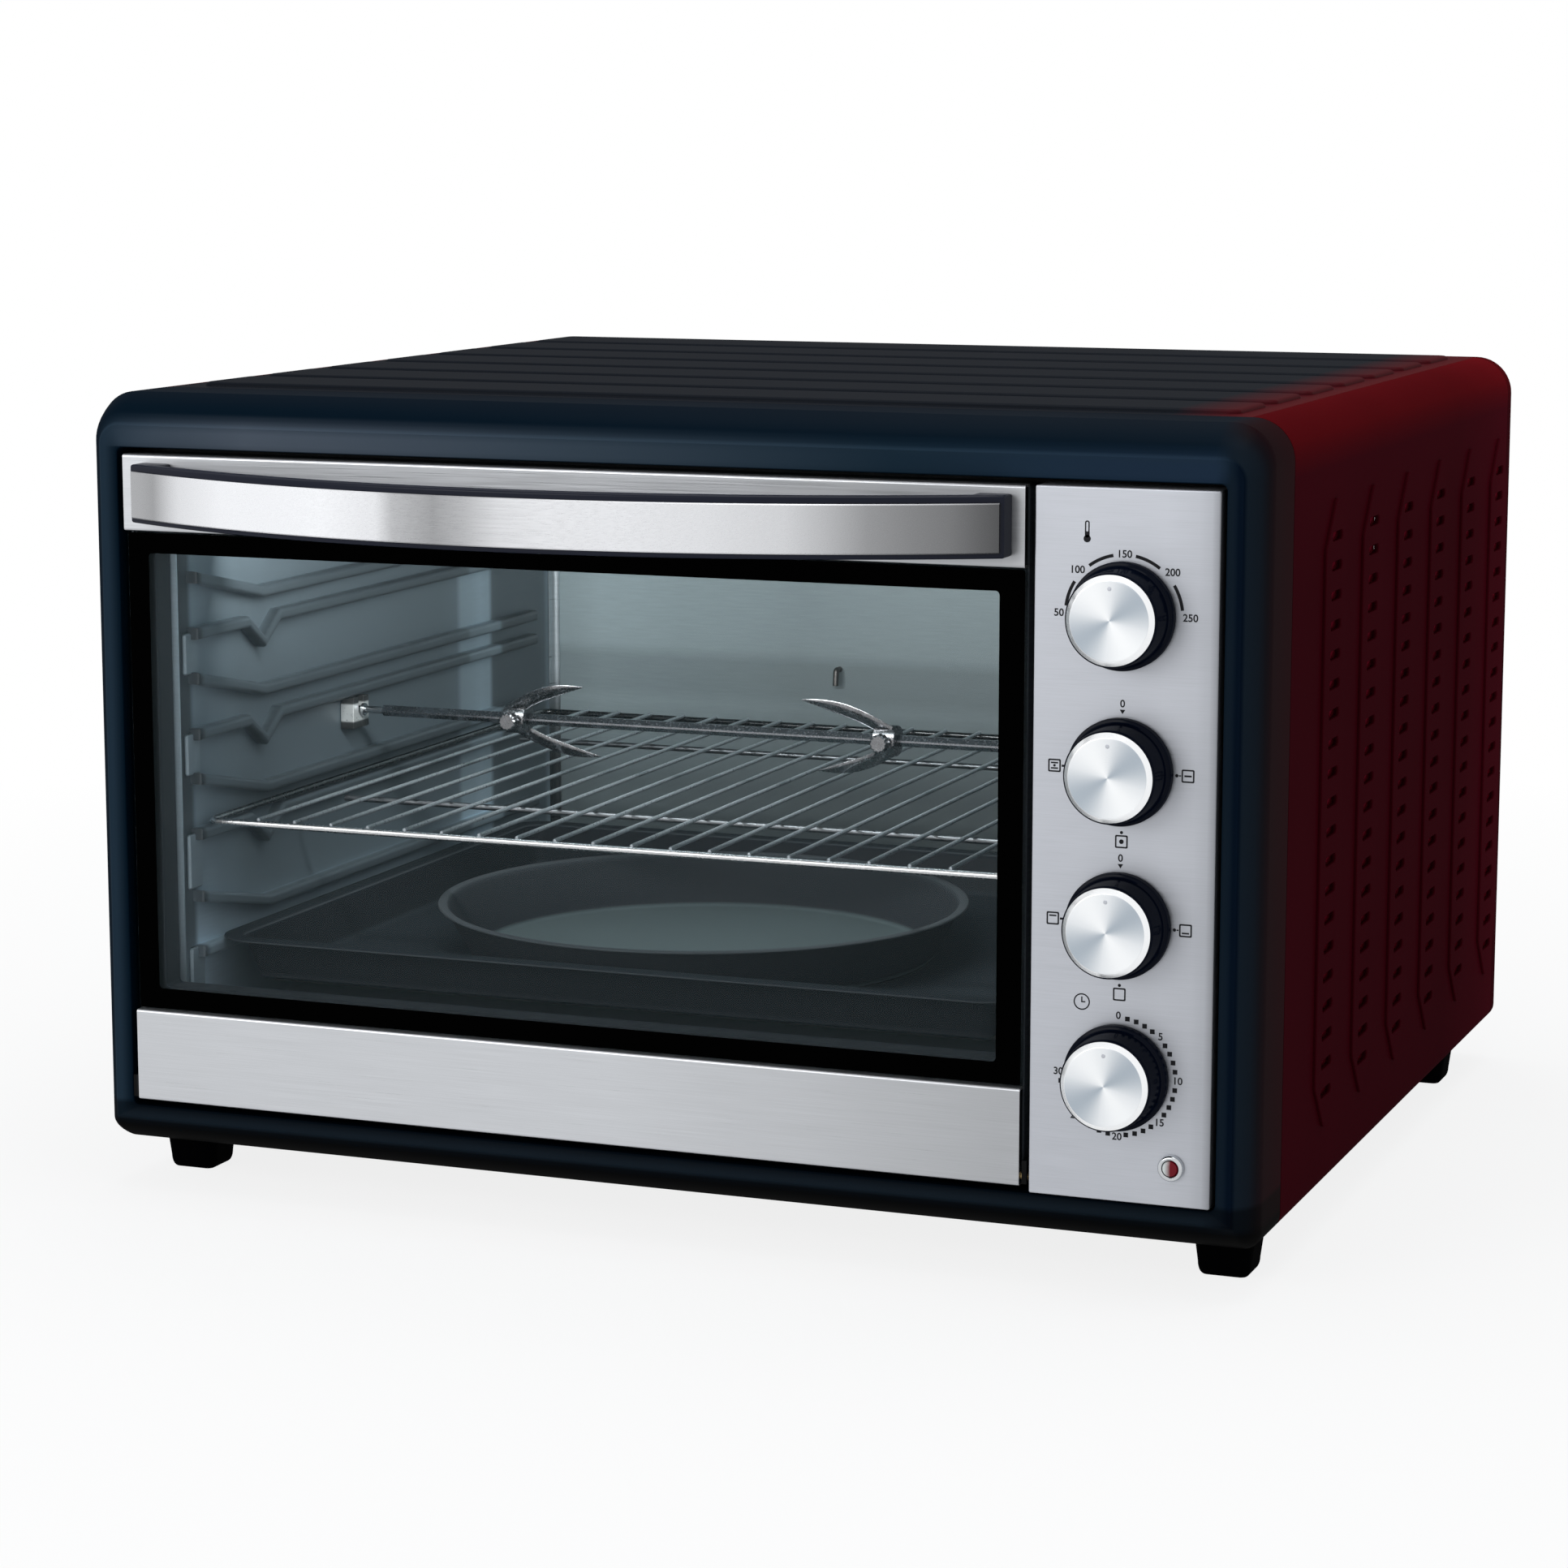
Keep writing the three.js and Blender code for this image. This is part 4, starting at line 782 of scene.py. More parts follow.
def channel_middle(number):
    first = panels_front + channel_front_inset + channel_width * half
    last = panels_back - channel_back_inset - channel_width * half
    return first + (last - first) * number / (channel_count - 1)


def louvres(y, grow=0):
    w = louvre_width * half + grow
    h = louvre_height * half + grow
    return [rounded(y - w, y + w, z - h, z + h, h * louvre_round_share, steps=5) for z in louvre_heights]


def channel_outline(y):
    w = channel_width * half
    low = channel_bottom + channel_tip
    high = channel_top - channel_tip
    corners = [(y - w, low, 0), (y, channel_bottom, 0), (y + w, low, 0), (y + w, high, 0),
               (y, channel_top, 0), (y - w, high, 0)]
    return [(p.x, p.y) for p in bent(corners, channel_bend, steps=4, closed=True)]


strip_steps = 14


def bent_strip(centre, radius, start):
    """A quarter-round strip of sheet along the whole side."""
    rings = []
    lines = [arc(centre, r, start, strip_steps) for r in (radius, radius - sheet)]
    for outer, inner in zip(*lines):
        rings.append([(outer[0], panels_front, outer[1]), (outer[0], panels_back, outer[1]),
                      (inner[0], panels_back, inner[1]), (inner[0], panels_front, inner[1])])
    return loft(rings)


def louvre_blade(y, z):
    """The hood of sheet that is pressed inwards over each slot, closed at its ends."""
    x = body_x1 - sheet
    top = z + louvre_height * half + louvre_clearance
    low = top - blade_drop
    w = louvre_width * half
    skin = [(x, top), (x - blade_reach, low), (x - blade_reach - blade_wall, low + blade_lip),
            (x - blade_root, top + blade_rise)]
    cheek = [(x, top), (x - blade_reach, low), (x, low)]
    rows = [(skin, y - w, y + w), (cheek, y - w, y - w + blade_wall), (cheek, y + w - blade_wall, y + w)]
    return joined([loft([[(a, end, b) for a, b in line] for end in ends]) for line, *ends in rows])


def side_shell(mirrored):
    def flip(p):
        return (body_x1 - p[0] if mirrored else p[0], p[1], p[2])

    def upright(outline, holes, thickness, edge, x):
        return plate(outline, holes, thickness, edge, lambda a, b, w: flip((x + w, a, b)))

    low = bottom_radius
    high = body_z1 - top_radius
    flat = [(panels_front, low), (panels_back, low), (panels_back, high), (panels_front, high)]
    middles = [channel_middle(i) for i in range(channel_count)]
    holes = [hole for y in middles for hole in louvres(y, louvre_clearance)]
    parts = [upright(flat, holes, sheet, 0, body_x1 - sheet),
             moved(bent_strip((body_x1 - top_radius, high), top_radius, 0), flip),
             moved(bent_strip((body_x1 - low, low), low, -quarter_turn), flip)]
    for y in middles:
        parts.append(upright(channel_outline(y), louvres(y), channel_press + channel_edge, channel_edge,
                             body_x1 - channel_edge))
        parts += [moved(louvre_blade(y, z), flip) for z in louvre_heights]
    return joined(parts)


for side in ("right", "left"):
    piece("side_shell_" + side, side_shell(side == "left"), side_red, "body",
          "side_panel_" + side, sheet_angle)

# Top sheet
rib_count = 7
rib_gap = 14
rib_edge = 6
rib_end_inset = 10
rib_profile = [(0, -0.5), (0.15, 0.4), (0.5, 1.1), (1.1, 1.6), (2, 1.9), (3.2, 2)]
top_edge = 0.2


def top_cover():
    left = top_radius + panel_gap
    right = body_x1 - left
    parts = [block(left, right, panels_front, panels_back, body_z1 - sheet, body_z1, top_edge)]
    pitch = (panels_back - panels_front - rib_gap) / rib_count
    for number in range(rib_count):
        front = panels_front + rib_gap + number * pitch
        rings = []
        for inset, rise in rib_profile:
            line = rounded(left + rib_end_inset + inset, right - rib_end_inset - inset,
                           front + inset, front + pitch - rib_gap - inset, rib_edge - inset)
            rings.append([(x, y, body_z1 + rise) for x, y in line])
        parts.append(loft(rings))
    return joined(parts)


piece("top_cover", top_cover(), top_look, "body", "top_panel", sheet_angle)

# Rear cover
rear_slot_count = 9
rear_slot_width = 5
rear_slot_height = 62
rear_slot_radius = 2.4
rear_slot_pitch = 14
rear_slot_top = body_z1 - 56
rear_slot_inset = 60
rear_edge = 3
rear_rings = [(0, rear_front), (0, rear_back - rear_edge), (0.25, rear_back - 1.8), (1, rear_back - 0.7),
              (2, rear_back - 0.15), (rear_edge, rear_back), (rear_edge, rear_back - sheet),
              (sheet, rear_back - rear_edge), (sheet, rear_front)]
gland_x, gland_z = 548, 47.5
gland_hole = 8.3
gland_profile = [(4, -12), (7.6, -12), (8, -11.6), (8, 0.3), (11.4, 0.3), (12, 0.9), (12, 2.4),
                 (11.4, 3.2), (6.4, 3.3), (5.6, 2.9), (4, 1.2), (4, -12)]
screw_places = [(28, 28), (572, 28), (28, 351), (572, 351), (300, 358), (300, 22)]
screw_profile = [(0, 0), (3.4, 0), (3.332, 0.5), (2.72, 1.1), (1.36, 1.5), (0, 1.6)]


def rear_dish():
    e = rear_edge
    back = rounded(e, body_x1 - e, e, body_z1 - e, top_radius - e, bottom_radius - e)
    holes = []
    for i in range(rear_slot_count):
        left = rear_slot_inset + i * rear_slot_pitch
        for x in (left, body_x1 - rear_slot_width - left):
            holes.append(rounded(x, x + rear_slot_width, rear_slot_top - rear_slot_height,
                                 rear_slot_top, rear_slot_radius, steps=5))
    holes.append(circle(gland_x, gland_z, gland_hole))
    return joined([loft([even_ring(*ring) for ring in rear_rings], hoop=True),
                   plate(back, holes, sheet, 0, lambda a, b, w: (a, rear_back - sheet + w, b))])


piece("rear_dish", rear_dish(), red, "body", "rear_cover", sheet_angle)
rear_screws = [lathe(screw_profile, (x, rear_back, z), screw_sides) for x, z in screw_places]
piece("rear_screws", joined(rear_screws), chrome, "body")
piece("gland_bush", lathe(gland_profile, (gland_x, rear_back, gland_z), round_sides), gland_plastic,
      "body", "cord_gland")

# Base plate and feet
base_slot_length = 46
base_slot_width = 4
base_slot_radius = 1.9
base_slot_rows = (130, 260, 390)
base_slot_columns = 15
base_slot_pitch = 24
base_edge = 0.1
foot_corner = 8
foot_taper = 2.5
foot_round = 6
foot_round_steps = 7
foot_top_rings = [(0.4, 0), (0, -0.5), (0.2, -4), (0.9, -4.4)]


def base_sheet():
    x0, x1, y0, y1, z0, z1 = node_box("base_plate")
    holes = []
    first = (x0 + x1 - (base_slot_columns - 1) * base_slot_pitch - base_slot_width) * half
    for row in base_slot_rows:
        for i in range(base_slot_columns):
            x = first + i * base_slot_pitch
            holes.append(rounded(x, x + base_slot_width, row, row + base_slot_length, base_slot_radius,
                                 steps=4))
    line = [(x0, y0), (x1, y0), (x1, y1), (x0, y1)]
    return plate(line, holes, sheet, base_edge, lambda a, b, w: (a, b, z0 + w))


def inset_ring(box, corner, inset, z, least=least_radius):
    """A level ring inside a node's box, its corners round."""
    x0, x1, y0, y1 = box[:4]
    radius = max(corner - inset, least)
    return [(x, y, z) for x, y in rounded(x0 + inset, x1 - inset, y0 + inset, y1 - inset, radius)]


def foot(box):
    low, high = box[4:]
    rows = [(inset, high + rise) for inset, rise in foot_top_rings]
    for i in range(foot_round_steps + 1):
        angle = quarter_turn * i / foot_round_steps
        rows.append((foot_taper + foot_round * half * (1 - math.cos(angle)),
                     low + foot_round * (1 - math.sin(angle))))
    return loft([inset_ring(box, foot_corner, *row) for row in rows])


piece("base_sheet", base_sheet(), black_paint, "body", "base_plate")
for corner in ("front_left", "front_right", "rear_left", "rear_right"):
    piece(corner + "_foot", foot(node_box("foot_" + corner)), rubber, "body",
          "foot_" + corner, round_angle)

# Cavity
cavity_left = node_box("cavity_left_wall")[0] + sheet
cavity_right = node_box("cavity_right_wall")[1] - sheet
cavity_front, cavity_back = node_box("cavity_left_wall")[2:4]
cavity_floor = node_box("cavity_floor")[5]
cavity_ceiling = node_box("cavity_ceiling")[4]
runner_reach = 7
runner_edge = 2
runner_band = 0.5
runner_segments = 4
mouth_edge = 0.3


def left_nose(a, b):
    return min(a.x, b.x) > cavity_left + runner_reach - runner_band


def right_nose(a, b):
    return max(a.x, b.x) < cavity_right - runner_reach + runner_band


softened("front_plate", "mouth_plate", chest_steel, "body", mouth_edge, edge_segments)
for side, nose in (("left", left_nose), ("right", right_nose)):
    softened("cavity_" + side + "_wall", "runner_wall_" + side, left_wall_look, "body",
             runner_edge, runner_segments, nose)
dress("cavity_ceiling", cavity_look)
dress("cavity_floor", cavity_look)
dress("cavity_back_wall", back_wall_look)

cover_radius = 5
cover_wall = 0.8
cover_gap = 0.3
cover_end_gap = 0.4
cover_steps = 12


def corner_covers():
    """Quarter-round covers in the two upright rear corners of the cavity."""
    parts = []
    y = cavity_back - cover_radius - cover_gap
    for side, wall in ((1, cavity_left), (-1, cavity_right)):
        x = wall + side * (cover_radius + cover_gap)
        line = arc((0, 0), cover_radius, 0, cover_steps)
        line += arc((0, 0), cover_radius - cover_wall, 0, cover_steps)[::-1]
        parts.append(loft([[(x - side * a, y + b, z) for a, b in line]
                           for z in (cavity_floor + cover_end_gap, cavity_ceiling - cover_end_gap)]))
    return joined(parts)


piece("corner_covers", corner_covers(), cover_look, "body")

# The slots between the runners: one for the tray and three for the rack
tray_slot_rise = 3
level_pitch = 51
level_count = 3
slot_levels = [node_box("baking_tray")[5] + tray_slot_rise]
slot_levels += [middle("wire_rack")[2] + i * level_pitch for i in range(level_count)]
mouth_rise = 25
mouth_drop = 5
floor_gap = 4
pad_inset = 2
pad_reach = 2.2
pad_length = 13
pad_edge = 0.8
tab_size = 3.4
tab_width = 2.4
tab_edge = 0.2
tab_inset = 11
tab_rise = 7
tab_back = 2


def wall_gaps():
    """The stretches of wall below, between and above the mouths of the runner slots."""
    lows = [cavity_floor + floor_gap] + [level + mouth_rise for level in slot_levels[:-1]]
    return list(zip(lows, [level - mouth_drop for level in slot_levels]))


def wall_pads():
    """Raised pads of the side walls beside the mouths of the slots."""
    y = cavity_front + pad_inset
    return joined([block(x, x + pad_reach, y, y + pad_length, low, high, pad_edge)
                   for low, high in wall_gaps() for x in (cavity_left, cavity_right - pad_reach)])


def mouth_tabs():
    """Small tabs beside the edge of the mouth, level with the upper part of each pad."""
    parts = []
    for low, high in wall_gaps():
        z = (low + high - tab_size) * half + tab_rise
        for middle_x in (cavity_left - tab_inset, cavity_right + tab_inset):
            x = middle_x - tab_width * half
            parts.append(block(x, x + tab_width, cavity_front - tab_back, cavity_front,
                               z, z + tab_size, tab_edge))
    return joined(parts)


piece("wall_pads", wall_pads(), pad_look, "body")
piece("mouth_tabs", mouth_tabs(), fork_steel, "body")

heater_radius = 3.6
for heater in ("heater_top_front", "heater_top_rear", "heater_bottom_front", "heater_bottom_rear"):
    piece(heater + "_rod", rod(*node_box(heater)[:2], (0, *middle(heater)[1:]), heater_radius),
          heater_look, "body", heater)

# Control panel
panel_x0, panel_x1, panel_y0 = node_box("control_panel")[:3]
panel_z0, panel_z1 = node_box("control_panel")[4:]
rim_band = 0.1
rim_edge = 0.8
rim_segments = 3


def panel_rim(a, b):
    outside = min(a.x, b.x) < panel_x0 + rim_band or max(a.x, b.x) > panel_x1 - rim_band
    ends = min(a.z, b.z) < panel_z0 + rim_band or max(a.z, b.z) > panel_z1 - rim_band
    return max(a.y, b.y) < rim_band and (outside or ends)


def on_face(node, rise=0):
    """The place on the front of the panel in line with a node."""
    x, y, z = middle(node)
    return x, 0, z + rise


softened("control_panel", "panel_face", steel_panel, "body", rim_edge, rim_segments,
         panel_rim)

# Knobs: profiles of radius and distance from the panel's face
knob_names = ("temperature", "upper_selector", "lower_selector", "timer")
knob_profile = [(0, -14.3), (3.3, -14.3), (3.3, -1), (24.1, -1), (24.6, -1.5), (24.6, -5.2),
                (24.2, -5.9), (23.2, -6.2), (22.7, -6.9), (21.5, -19.4), (21.35, -20.3),
                (21.1, -20.8), (20.85, -20.95), (20.7, -20.8), (20.68, -20.45), (0, -20.4)]
cap_profile = [(0, -20.7), (20.4, -20.7), (20.6, -20.85), (20.55, -21.1), (18.5, -23),
               (18.2, -23.1), (17.6, -23.1), (9, -22.95), (0.9, -22.7), (0, -22.68)]
cap_bevel = (18.2, 18.5)
dimple_reach = 14.5
dimple_profile = [(0, -23), (0.95, -23.05), (0.8, -23.25), (0, -23.3)]
knob_sides = 96
dimple_sides = 20
lobe_turn = 0.35
spun_waves = 9000
spun_depth = 0.006


def cap_look(name, at):
    """Spun metal: rings about the knob's centre, four lobes of painted sheen, a painted highlight on its
    rim.
    """
    look = Look(name + "_spun", (0.78, 0.81, 0.84), 0.22, 0.75)
    centre = place(at)
    axes = look.axes(look.mapped(1, (-centre.x, 0, -centre.z)))
    turn = look.result("MULTIPLY_ADD", look.result("ARCTAN2", axes["Z"], axes["X"]), 2, lobe_turn)
    sheen = look.spread(look.result("SINE", turn), 0, 1, -1, 1)
    lobes = look.ramp(sheen, [(0, (0.95, 0.965, 0.975)), (0.42, (0.8, 0.825, 0.85)),
                              (1, (0.42, 0.475, 0.53))])
    flat = look.node("CombineXYZ", {"X": axes["X"], "Y": axes["Z"]}).outputs["Vector"]
    reach = look.length(flat)
    rim = look.spread(reach, 0, 1, *(radius * mm for radius in cap_bevel))
    bright = look.ramp(rim, [(0, (0.95, 0.965, 0.975)), (1, (0.97, 0.98, 0.99))])
    look.paint(look.blend(lobes, bright, rim, "MIX"))
    rings = look.result("SINE", look.result("MULTIPLY", reach, spun_waves))
    look.bump(rings, spun_depth, brush_strength)
    return look.material


for name in knob_names:
    knob_node = name + "_knob"
    knob_body = name + "_knob_set"
    knob_at = on_face(knob_node)
    piece(name + "_grip", lathe(knob_profile, knob_at, knob_sides), knob_gloss, knob_body,
          knob_node, sheet_angle)
    piece(name + "_disc", lathe(cap_profile, knob_at, knob_sides), cap_look(name, knob_at), knob_body,
          name + "_cap", sheet_angle)
    piece(name + "_dimple", lathe(dimple_profile, on_face(knob_node, dimple_reach), dimple_sides),
          steel_panel, knob_body)
    dress(name + "_spindle", steel)

# Lamp
lamp_at = on_face("indicator_bezel")
bezel_profile = [(4, -2.6), (4.3, -2.85), (4.9, -2.9), (5.5, -2.7), (5.95, -2.1), (6.2, -1.2),
                 (6.2, -0.3), (4.7, -0.3), (4.7, 9), (4, 9), (4, -2.6)]
lens_profile = [(0, 9), (3.7, 9), (3.7, -2.2), (3.4, -2.9), (2.7, -3.3), (1.5, -3.55), (0, -3.6)]
lens_sides = 32
lens_highlight_reach = 2.4
lens_red_start = 0.4


def lens_look():
    """Red lens with a painted highlight along its left side."""
    look = Look("lamp_lens", (0.42, 0.012, 0.016), 0.2, **satin(0.3, 0.08))
    look.paint(look.along("X", [(lamp_at[0] - lens_highlight_reach, (0.7, 0.74, 0.72)),
                                (lamp_at[0] + lens_red_start, (0.17, 0.004, 0.012))]))
    return look.material


piece("lamp_ring", lathe(bezel_profile, lamp_at, round_sides), chrome, "body",
      "indicator_bezel")
piece("lamp_lens", lathe(lens_profile, lamp_at, lens_sides), lens_look(), "body",
      "indicator_lens")

for node in ("thermostat", "upper_switch", "lower_switch", "timer_mechanism"):
    dress(node, switch_plastic)
dress("spit_motor", motor_look)

# Markings of the dials: plain numbers, ticks and symbols
ink_depth = 0.07
digit_size = 4.76
digit_growth = 0.09
arc_radius = 27.4
arc_width = 1.5
arc_spans = ((-83, -58), (-37, -11), (11, 37), (58, 83))
temperatures = ((-90, "50", 30.5), (-48, "100", 29.6), (0, "150", 27.6), (48, "200", 30.2), (90, "250", 31))
minutes = 30
minute_turn = 9
minutes_to_number = 5
minute_radius = 28.4
tick_radius = 27.5
tick = (-1.1, 1.1, -1.1, 1.1)

# Marks beside the dials: places from the knob's centre; a bar is its left, right, low and high
# edge, a dot its place and radius, a stem half its width, its low and high end and its radius
bulb_place = (-17.6, 34)
bulb_dot = (0, 0, 1.7, 20)
bulb_stem = (1.1, 0.5, 8.2, 1.05)
bulb_bore = (0.5, 3.2, 7.6, 0.48)
clock_place = (-17.5, 33.6)
clock_radius = 3.9
clock_bore = 3.3
clock_sides = 28
clock_hands = ((-0.3, 0.3, -0.3, 2.4), (-0.3, 1.7, -0.3, 0.3))
pointer = ((0, 26), (1.3, 28), (-1.3, 28))
off_rise = 30.6
squares = ((-31.8, 0.8), (31, -0.6), (0.3, -32.4))
square = (3, -3, 3, 0.6)
square_bore = (2.3, -2.3, 2.3, 0.3)
upper_stroke = (-1.7, 1.7, 0.9, 1.6)
middle_stroke = (-1.7, 1.7, -0.4, 0.4)
lower_stroke = (-1.7, 1.7, -1.6, -0.9)

# The bars and dots of the three squares of each selector
selector_bars = {"upper_selector": (((3.4, 5.6, -0.5, 0.5), upper_stroke, lower_stroke),
                                    ((-4.2, -3.2, -0.3, 0.3), middle_stroke), ()),
                 "lower_selector": (((3.4, 5.6, -0.5, 0.5), upper_stroke),
                                    ((-4.2, -3.2, -0.3, 0.3), lower_stroke), ())}
selector_dots = {"upper_selector": (((0, 0, 0.6),), ((-5.2, 0, 0.8),), ((0, 4.2, 0.75), (0, 0, 1.1, 14))),
                 "lower_selector": ((), ((-5.2, 0, 0.8),), ((0, 4.2, 0.75),))}


def on_panel(a, b, w):
    return (a, panel_y0 - w, b)


def printed(outline, *holes):
    return plate(outline, holes, ink_depth, 0, on_panel)


def number(text, a, b):
    """A number printed with its middle at (a, b)."""
    curve = bpy.data.curves.new("number", "FONT")
    curve.body = text
    curve.size = digit_size
    curve.offset = digit_growth
    curve.align_x = "CENTER"
    curve.align_y = "CENTER"
    return curve_shape(curve, lambda x, y, z: on_panel(a + x, b + y, ink_depth))


def around(at, radius, degrees):
    """A point on a dial: 0 is up, and degrees run clockwise."""
    angle = math.radians(degrees)
    return at[0] + radius * math.sin(angle), at[2] + radius * math.cos(angle)


def arc_mark(at, start, end, steps=14):
    angles = [start + (end - start) * i / steps for i in range(steps + 1)]
    outer = [around(at, arc_radius + arc_width * half, t) for t in angles]
    inner = [around(at, arc_radius - arc_width * half, t) for t in angles]
    return printed(outer + inner[::-1])


def beside(dial, place):
    return dial[0] + place[0], dial[2] + place[1]


def bar_mark(at, a0, a1, b0, b1):
    x, z = at
    return printed([(x + a0, z + b0), (x + a1, z + b0), (x + a1, z + b1), (x + a0, z + b1)])


def dot_mark(at, a, b, radius, sides=12):
    return printed(circle(at[0] + a, at[1] + b, radius, sides))


def stem_line(at, reach, low, high, radius, steps=3):
    x, z = at
    return rounded(x - reach, x + reach, z + low, z + high, radius, steps=steps)


def temperature_marks():
    """Arcs with the numbers between them, and a thermometer."""
    dial = on_face("temperature_knob")
    bulb = beside(dial, bulb_place)
    marks = [arc_mark(dial, *span) for span in arc_spans]
    marks += [number(text, *around(dial, reach, degrees)) for degrees, text, reach in temperatures]
    return marks + [dot_mark(bulb, *bulb_dot),
                    printed(stem_line(bulb, *bulb_stem, steps=5), stem_line(bulb, *bulb_bore, steps=4))]


def selector_marks(name):
    """A pointer and 0 for off, and squares with the heaters that are on."""
    dial = on_face(name + "_knob")
    marks = [printed([beside(dial, place) for place in pointer]),
             number("0", *beside(dial, (0, off_rise)))]
    for place, bars, dots in zip(squares, selector_bars[name], selector_dots[name]):
        at = beside(dial, place)
        marks.append(printed(stem_line(at, *square), stem_line(at, *square_bore)))
        marks += [bar_mark(at, *bar) for bar in bars]
        marks += [dot_mark(at, *dot) for dot in dots]
    return marks


def timer_marks():
    """A number every five minutes, with a tick for each minute between them, and a clock."""
    dial = on_face("timer_knob")
    marks = []
    for minute in range(minutes + 1):
        degrees = minute * minute_turn
        if minute % minutes_to_number:
            marks.append(bar_mark(around(dial, tick_radius, degrees), *tick))
        else:
            marks.append(number(str(minute), *around(dial, minute_radius, degrees)))
    clock = beside(dial, clock_place)
    marks.append(printed(circle(*clock, clock_radius, clock_sides), circle(*clock, clock_bore, clock_sides)))
    return marks + [bar_mark(clock, *hand) for hand in clock_hands]


piece("dial_markings", joined(temperature_marks() + selector_marks("upper_selector")
                              + selector_marks("lower_selector") + timer_marks()),
      ink, "body", weld=0)

# Door
rail_depth = 7
rail_bends = (1.4, 0.3, 0.3, 0.4, 0.4, 0.3, 0.3, 1.4)
door_edge = 0.45
glass_edge = 0.5
window = (34.2, 476, 81.7, 301.1)
window_radius = 2
print_inset = 0.6
print_radius = 1
print_gap = 0.04
print_depth = 0.12
pin_radius = 2
pin_edge = 0.5


def rail(node):
    """A strip of sheet whose long edges turn back twice."""
    x0, x1, y0, y1, z0, z1 = node_box(node)
    corners = [(0, z0), (rail_depth, z0), (rail_depth, z0 + sheet), (sheet, z0 + sheet),
               (sheet, z1 - sheet), (rail_depth, z1 - sheet), (rail_depth, z1), (0, z1)]
    line = []
    for i, corner in enumerate(corners):
        near = [(a, b, 0) for a, b in (corners[i - 1], corner, corners[(i + 1) % len(corners)])]
        line += [(p.x, p.y) for p in bent(near, rail_bends[i], steps=4)[1:-1]]
    return loft([[(x, a, b) for a, b in line] for x in (x0, x1)])


def glass_look():
    look = Look("door_glass", (0.05, 0.08, 0.09), 0.02, Alpha=0.07, Specular_IOR_Level=0.5)
    look.rough(look.noise(glass_waves), 0.012, 0.03)
    return look.material


def glass_border():
    """The black print on the face of the glass, around its window."""
    x0, x1, y0, y1, z0, z1 = node_box("door_glass")
    outer = rounded(x0 + print_inset, x1 - print_inset, z0 + print_inset, z1 - print_inset,
                    print_radius, steps=3)
    return plate(outer, [rounded(*window, window_radius, steps=6)], print_depth, 0,
                 lambda a, b, w: (a, y0 - print_gap - w, b))


for name in ("top_rail", "bottom_rail"):
    piece(name, rail("door_" + name), steel, "door", "door_" + name)
softened("door_frame", "door_pressing", door_steel, "door", door_edge, edge_segments)
softened("door_glass", "glass_pane", glass_look(), "door", glass_edge, edge_segments)
piece("glass_border", glass_border(), glass_print, "door")
for side in ("left", "right"):
    pin = "hinge_pin_" + side
    piece("pin_" + side, rod(*node_box(pin)[:2], (0, *middle(pin)[1:]), pin_radius, edge=pin_edge),
          brass, "body", pin)

# Handle: a bar whose front is an arc, seen from above, with a strip along its face
bar_x0, bar_x1, bar_y0, bar_y1, bar_z0, bar_z1 = node_box("door_handle")
strip_x0, strip_x1 = node_box("handle_strip")[:2]
strip_z0, strip_z1 = node_box("handle_strip")[4:]
handle_radius = 456.62
handle_thickness = 8
handle_end_length = 16
handle_edge = 1.3
handle_steps = 64
bow_centre = handle_radius + bar_y0
strip_gap = 0.3
strip_thickness = 1.5
strip_edge = 0.5
# Shares of the strip's colour along its length: a painted reflection
sheen_shares = [(0, 0.42), (0.0175, 0.4), (0.04, 0.35), (0.0675, 0.64), (0.0825, 0.76), (0.15, 0.92),
                (0.29, 0.9), (0.36, 0.74), (0.38, 0.46), (0.43, 0.31), (0.467, 0.42), (0.505, 0.61),
                (0.55, 0.68), (0.64, 0.74), (0.72, 0.74), (0.8, 0.66), (0.84, 0.5), (0.88, 0.32),
                (0.92, 0.245), (0.955, 0.2), (0.985, 0.125), (1, 0.095)]
sheen_tint = (1, 1.01, 1.04)


def bow(x, radius):
    return bow_centre - math.sqrt(radius ** 2 - (x - (bar_x0 + bar_x1) * half) ** 2)


def spread_out(a, b):
    return [a + (b - a) * i / handle_steps for i in range(handle_steps + 1)]


def handle_bar():
    left = bar_x0 + handle_end_length
    right = bar_x1 - handle_end_length
    inner_radius = handle_radius - handle_thickness
    line = [(bar_x0, bar_y1)]
    line += [(x, bow(x, handle_radius)) for x in spread_out(bar_x0, bar_x1)]
    line += [(bar_x1, bar_y1), (right, bar_y1)]
    line += [(x, bow(x, inner_radius)) for x in spread_out(right, left)]
    line += [(left, bar_y1)]
    return plate(line, [], bar_z1 - bar_z0, handle_edge, lambda a, b, w: (a, b, bar_z0 + w))


def strip_look():
    """Brushed strip: a painted reflection changes its tone along its length."""
    look = Look("strip_brushed", (0.7, 0.715, 0.73), 0.3, 0.85)
    lines = look.noise(long_grain, detail=fine_detail, roughness=grain_roughness)
    tone = look.along("X", [(strip_x0 + at * (strip_x1 - strip_x0), tuple(share * c for c in sheen_tint))
                            for at, share in sheen_shares])
    look.paint(look.blend(tone, look.soft(lines, 0.95)))
    look.brush(lines, 0.24, 0.36)
    return look.material


def handle_face():
    z0, z1, e = strip_z0, strip_z1, strip_edge
    back = handle_radius + strip_gap
    front = back + strip_thickness
    ring = [(back, z0), (front - e, z0), (front, z0 + e), (front, z1 - e), (front - e, z1), (back, z1)]
    return loft([[(x, bow(x, radius), z) for radius, z in ring] for x in spread_out(strip_x0, strip_x1)])


piece("handle_bar", handle_bar(), handle_paint, "door", "door_handle", round_angle)
piece("handle_face", handle_face(), strip_look(), "door", "handle_strip")

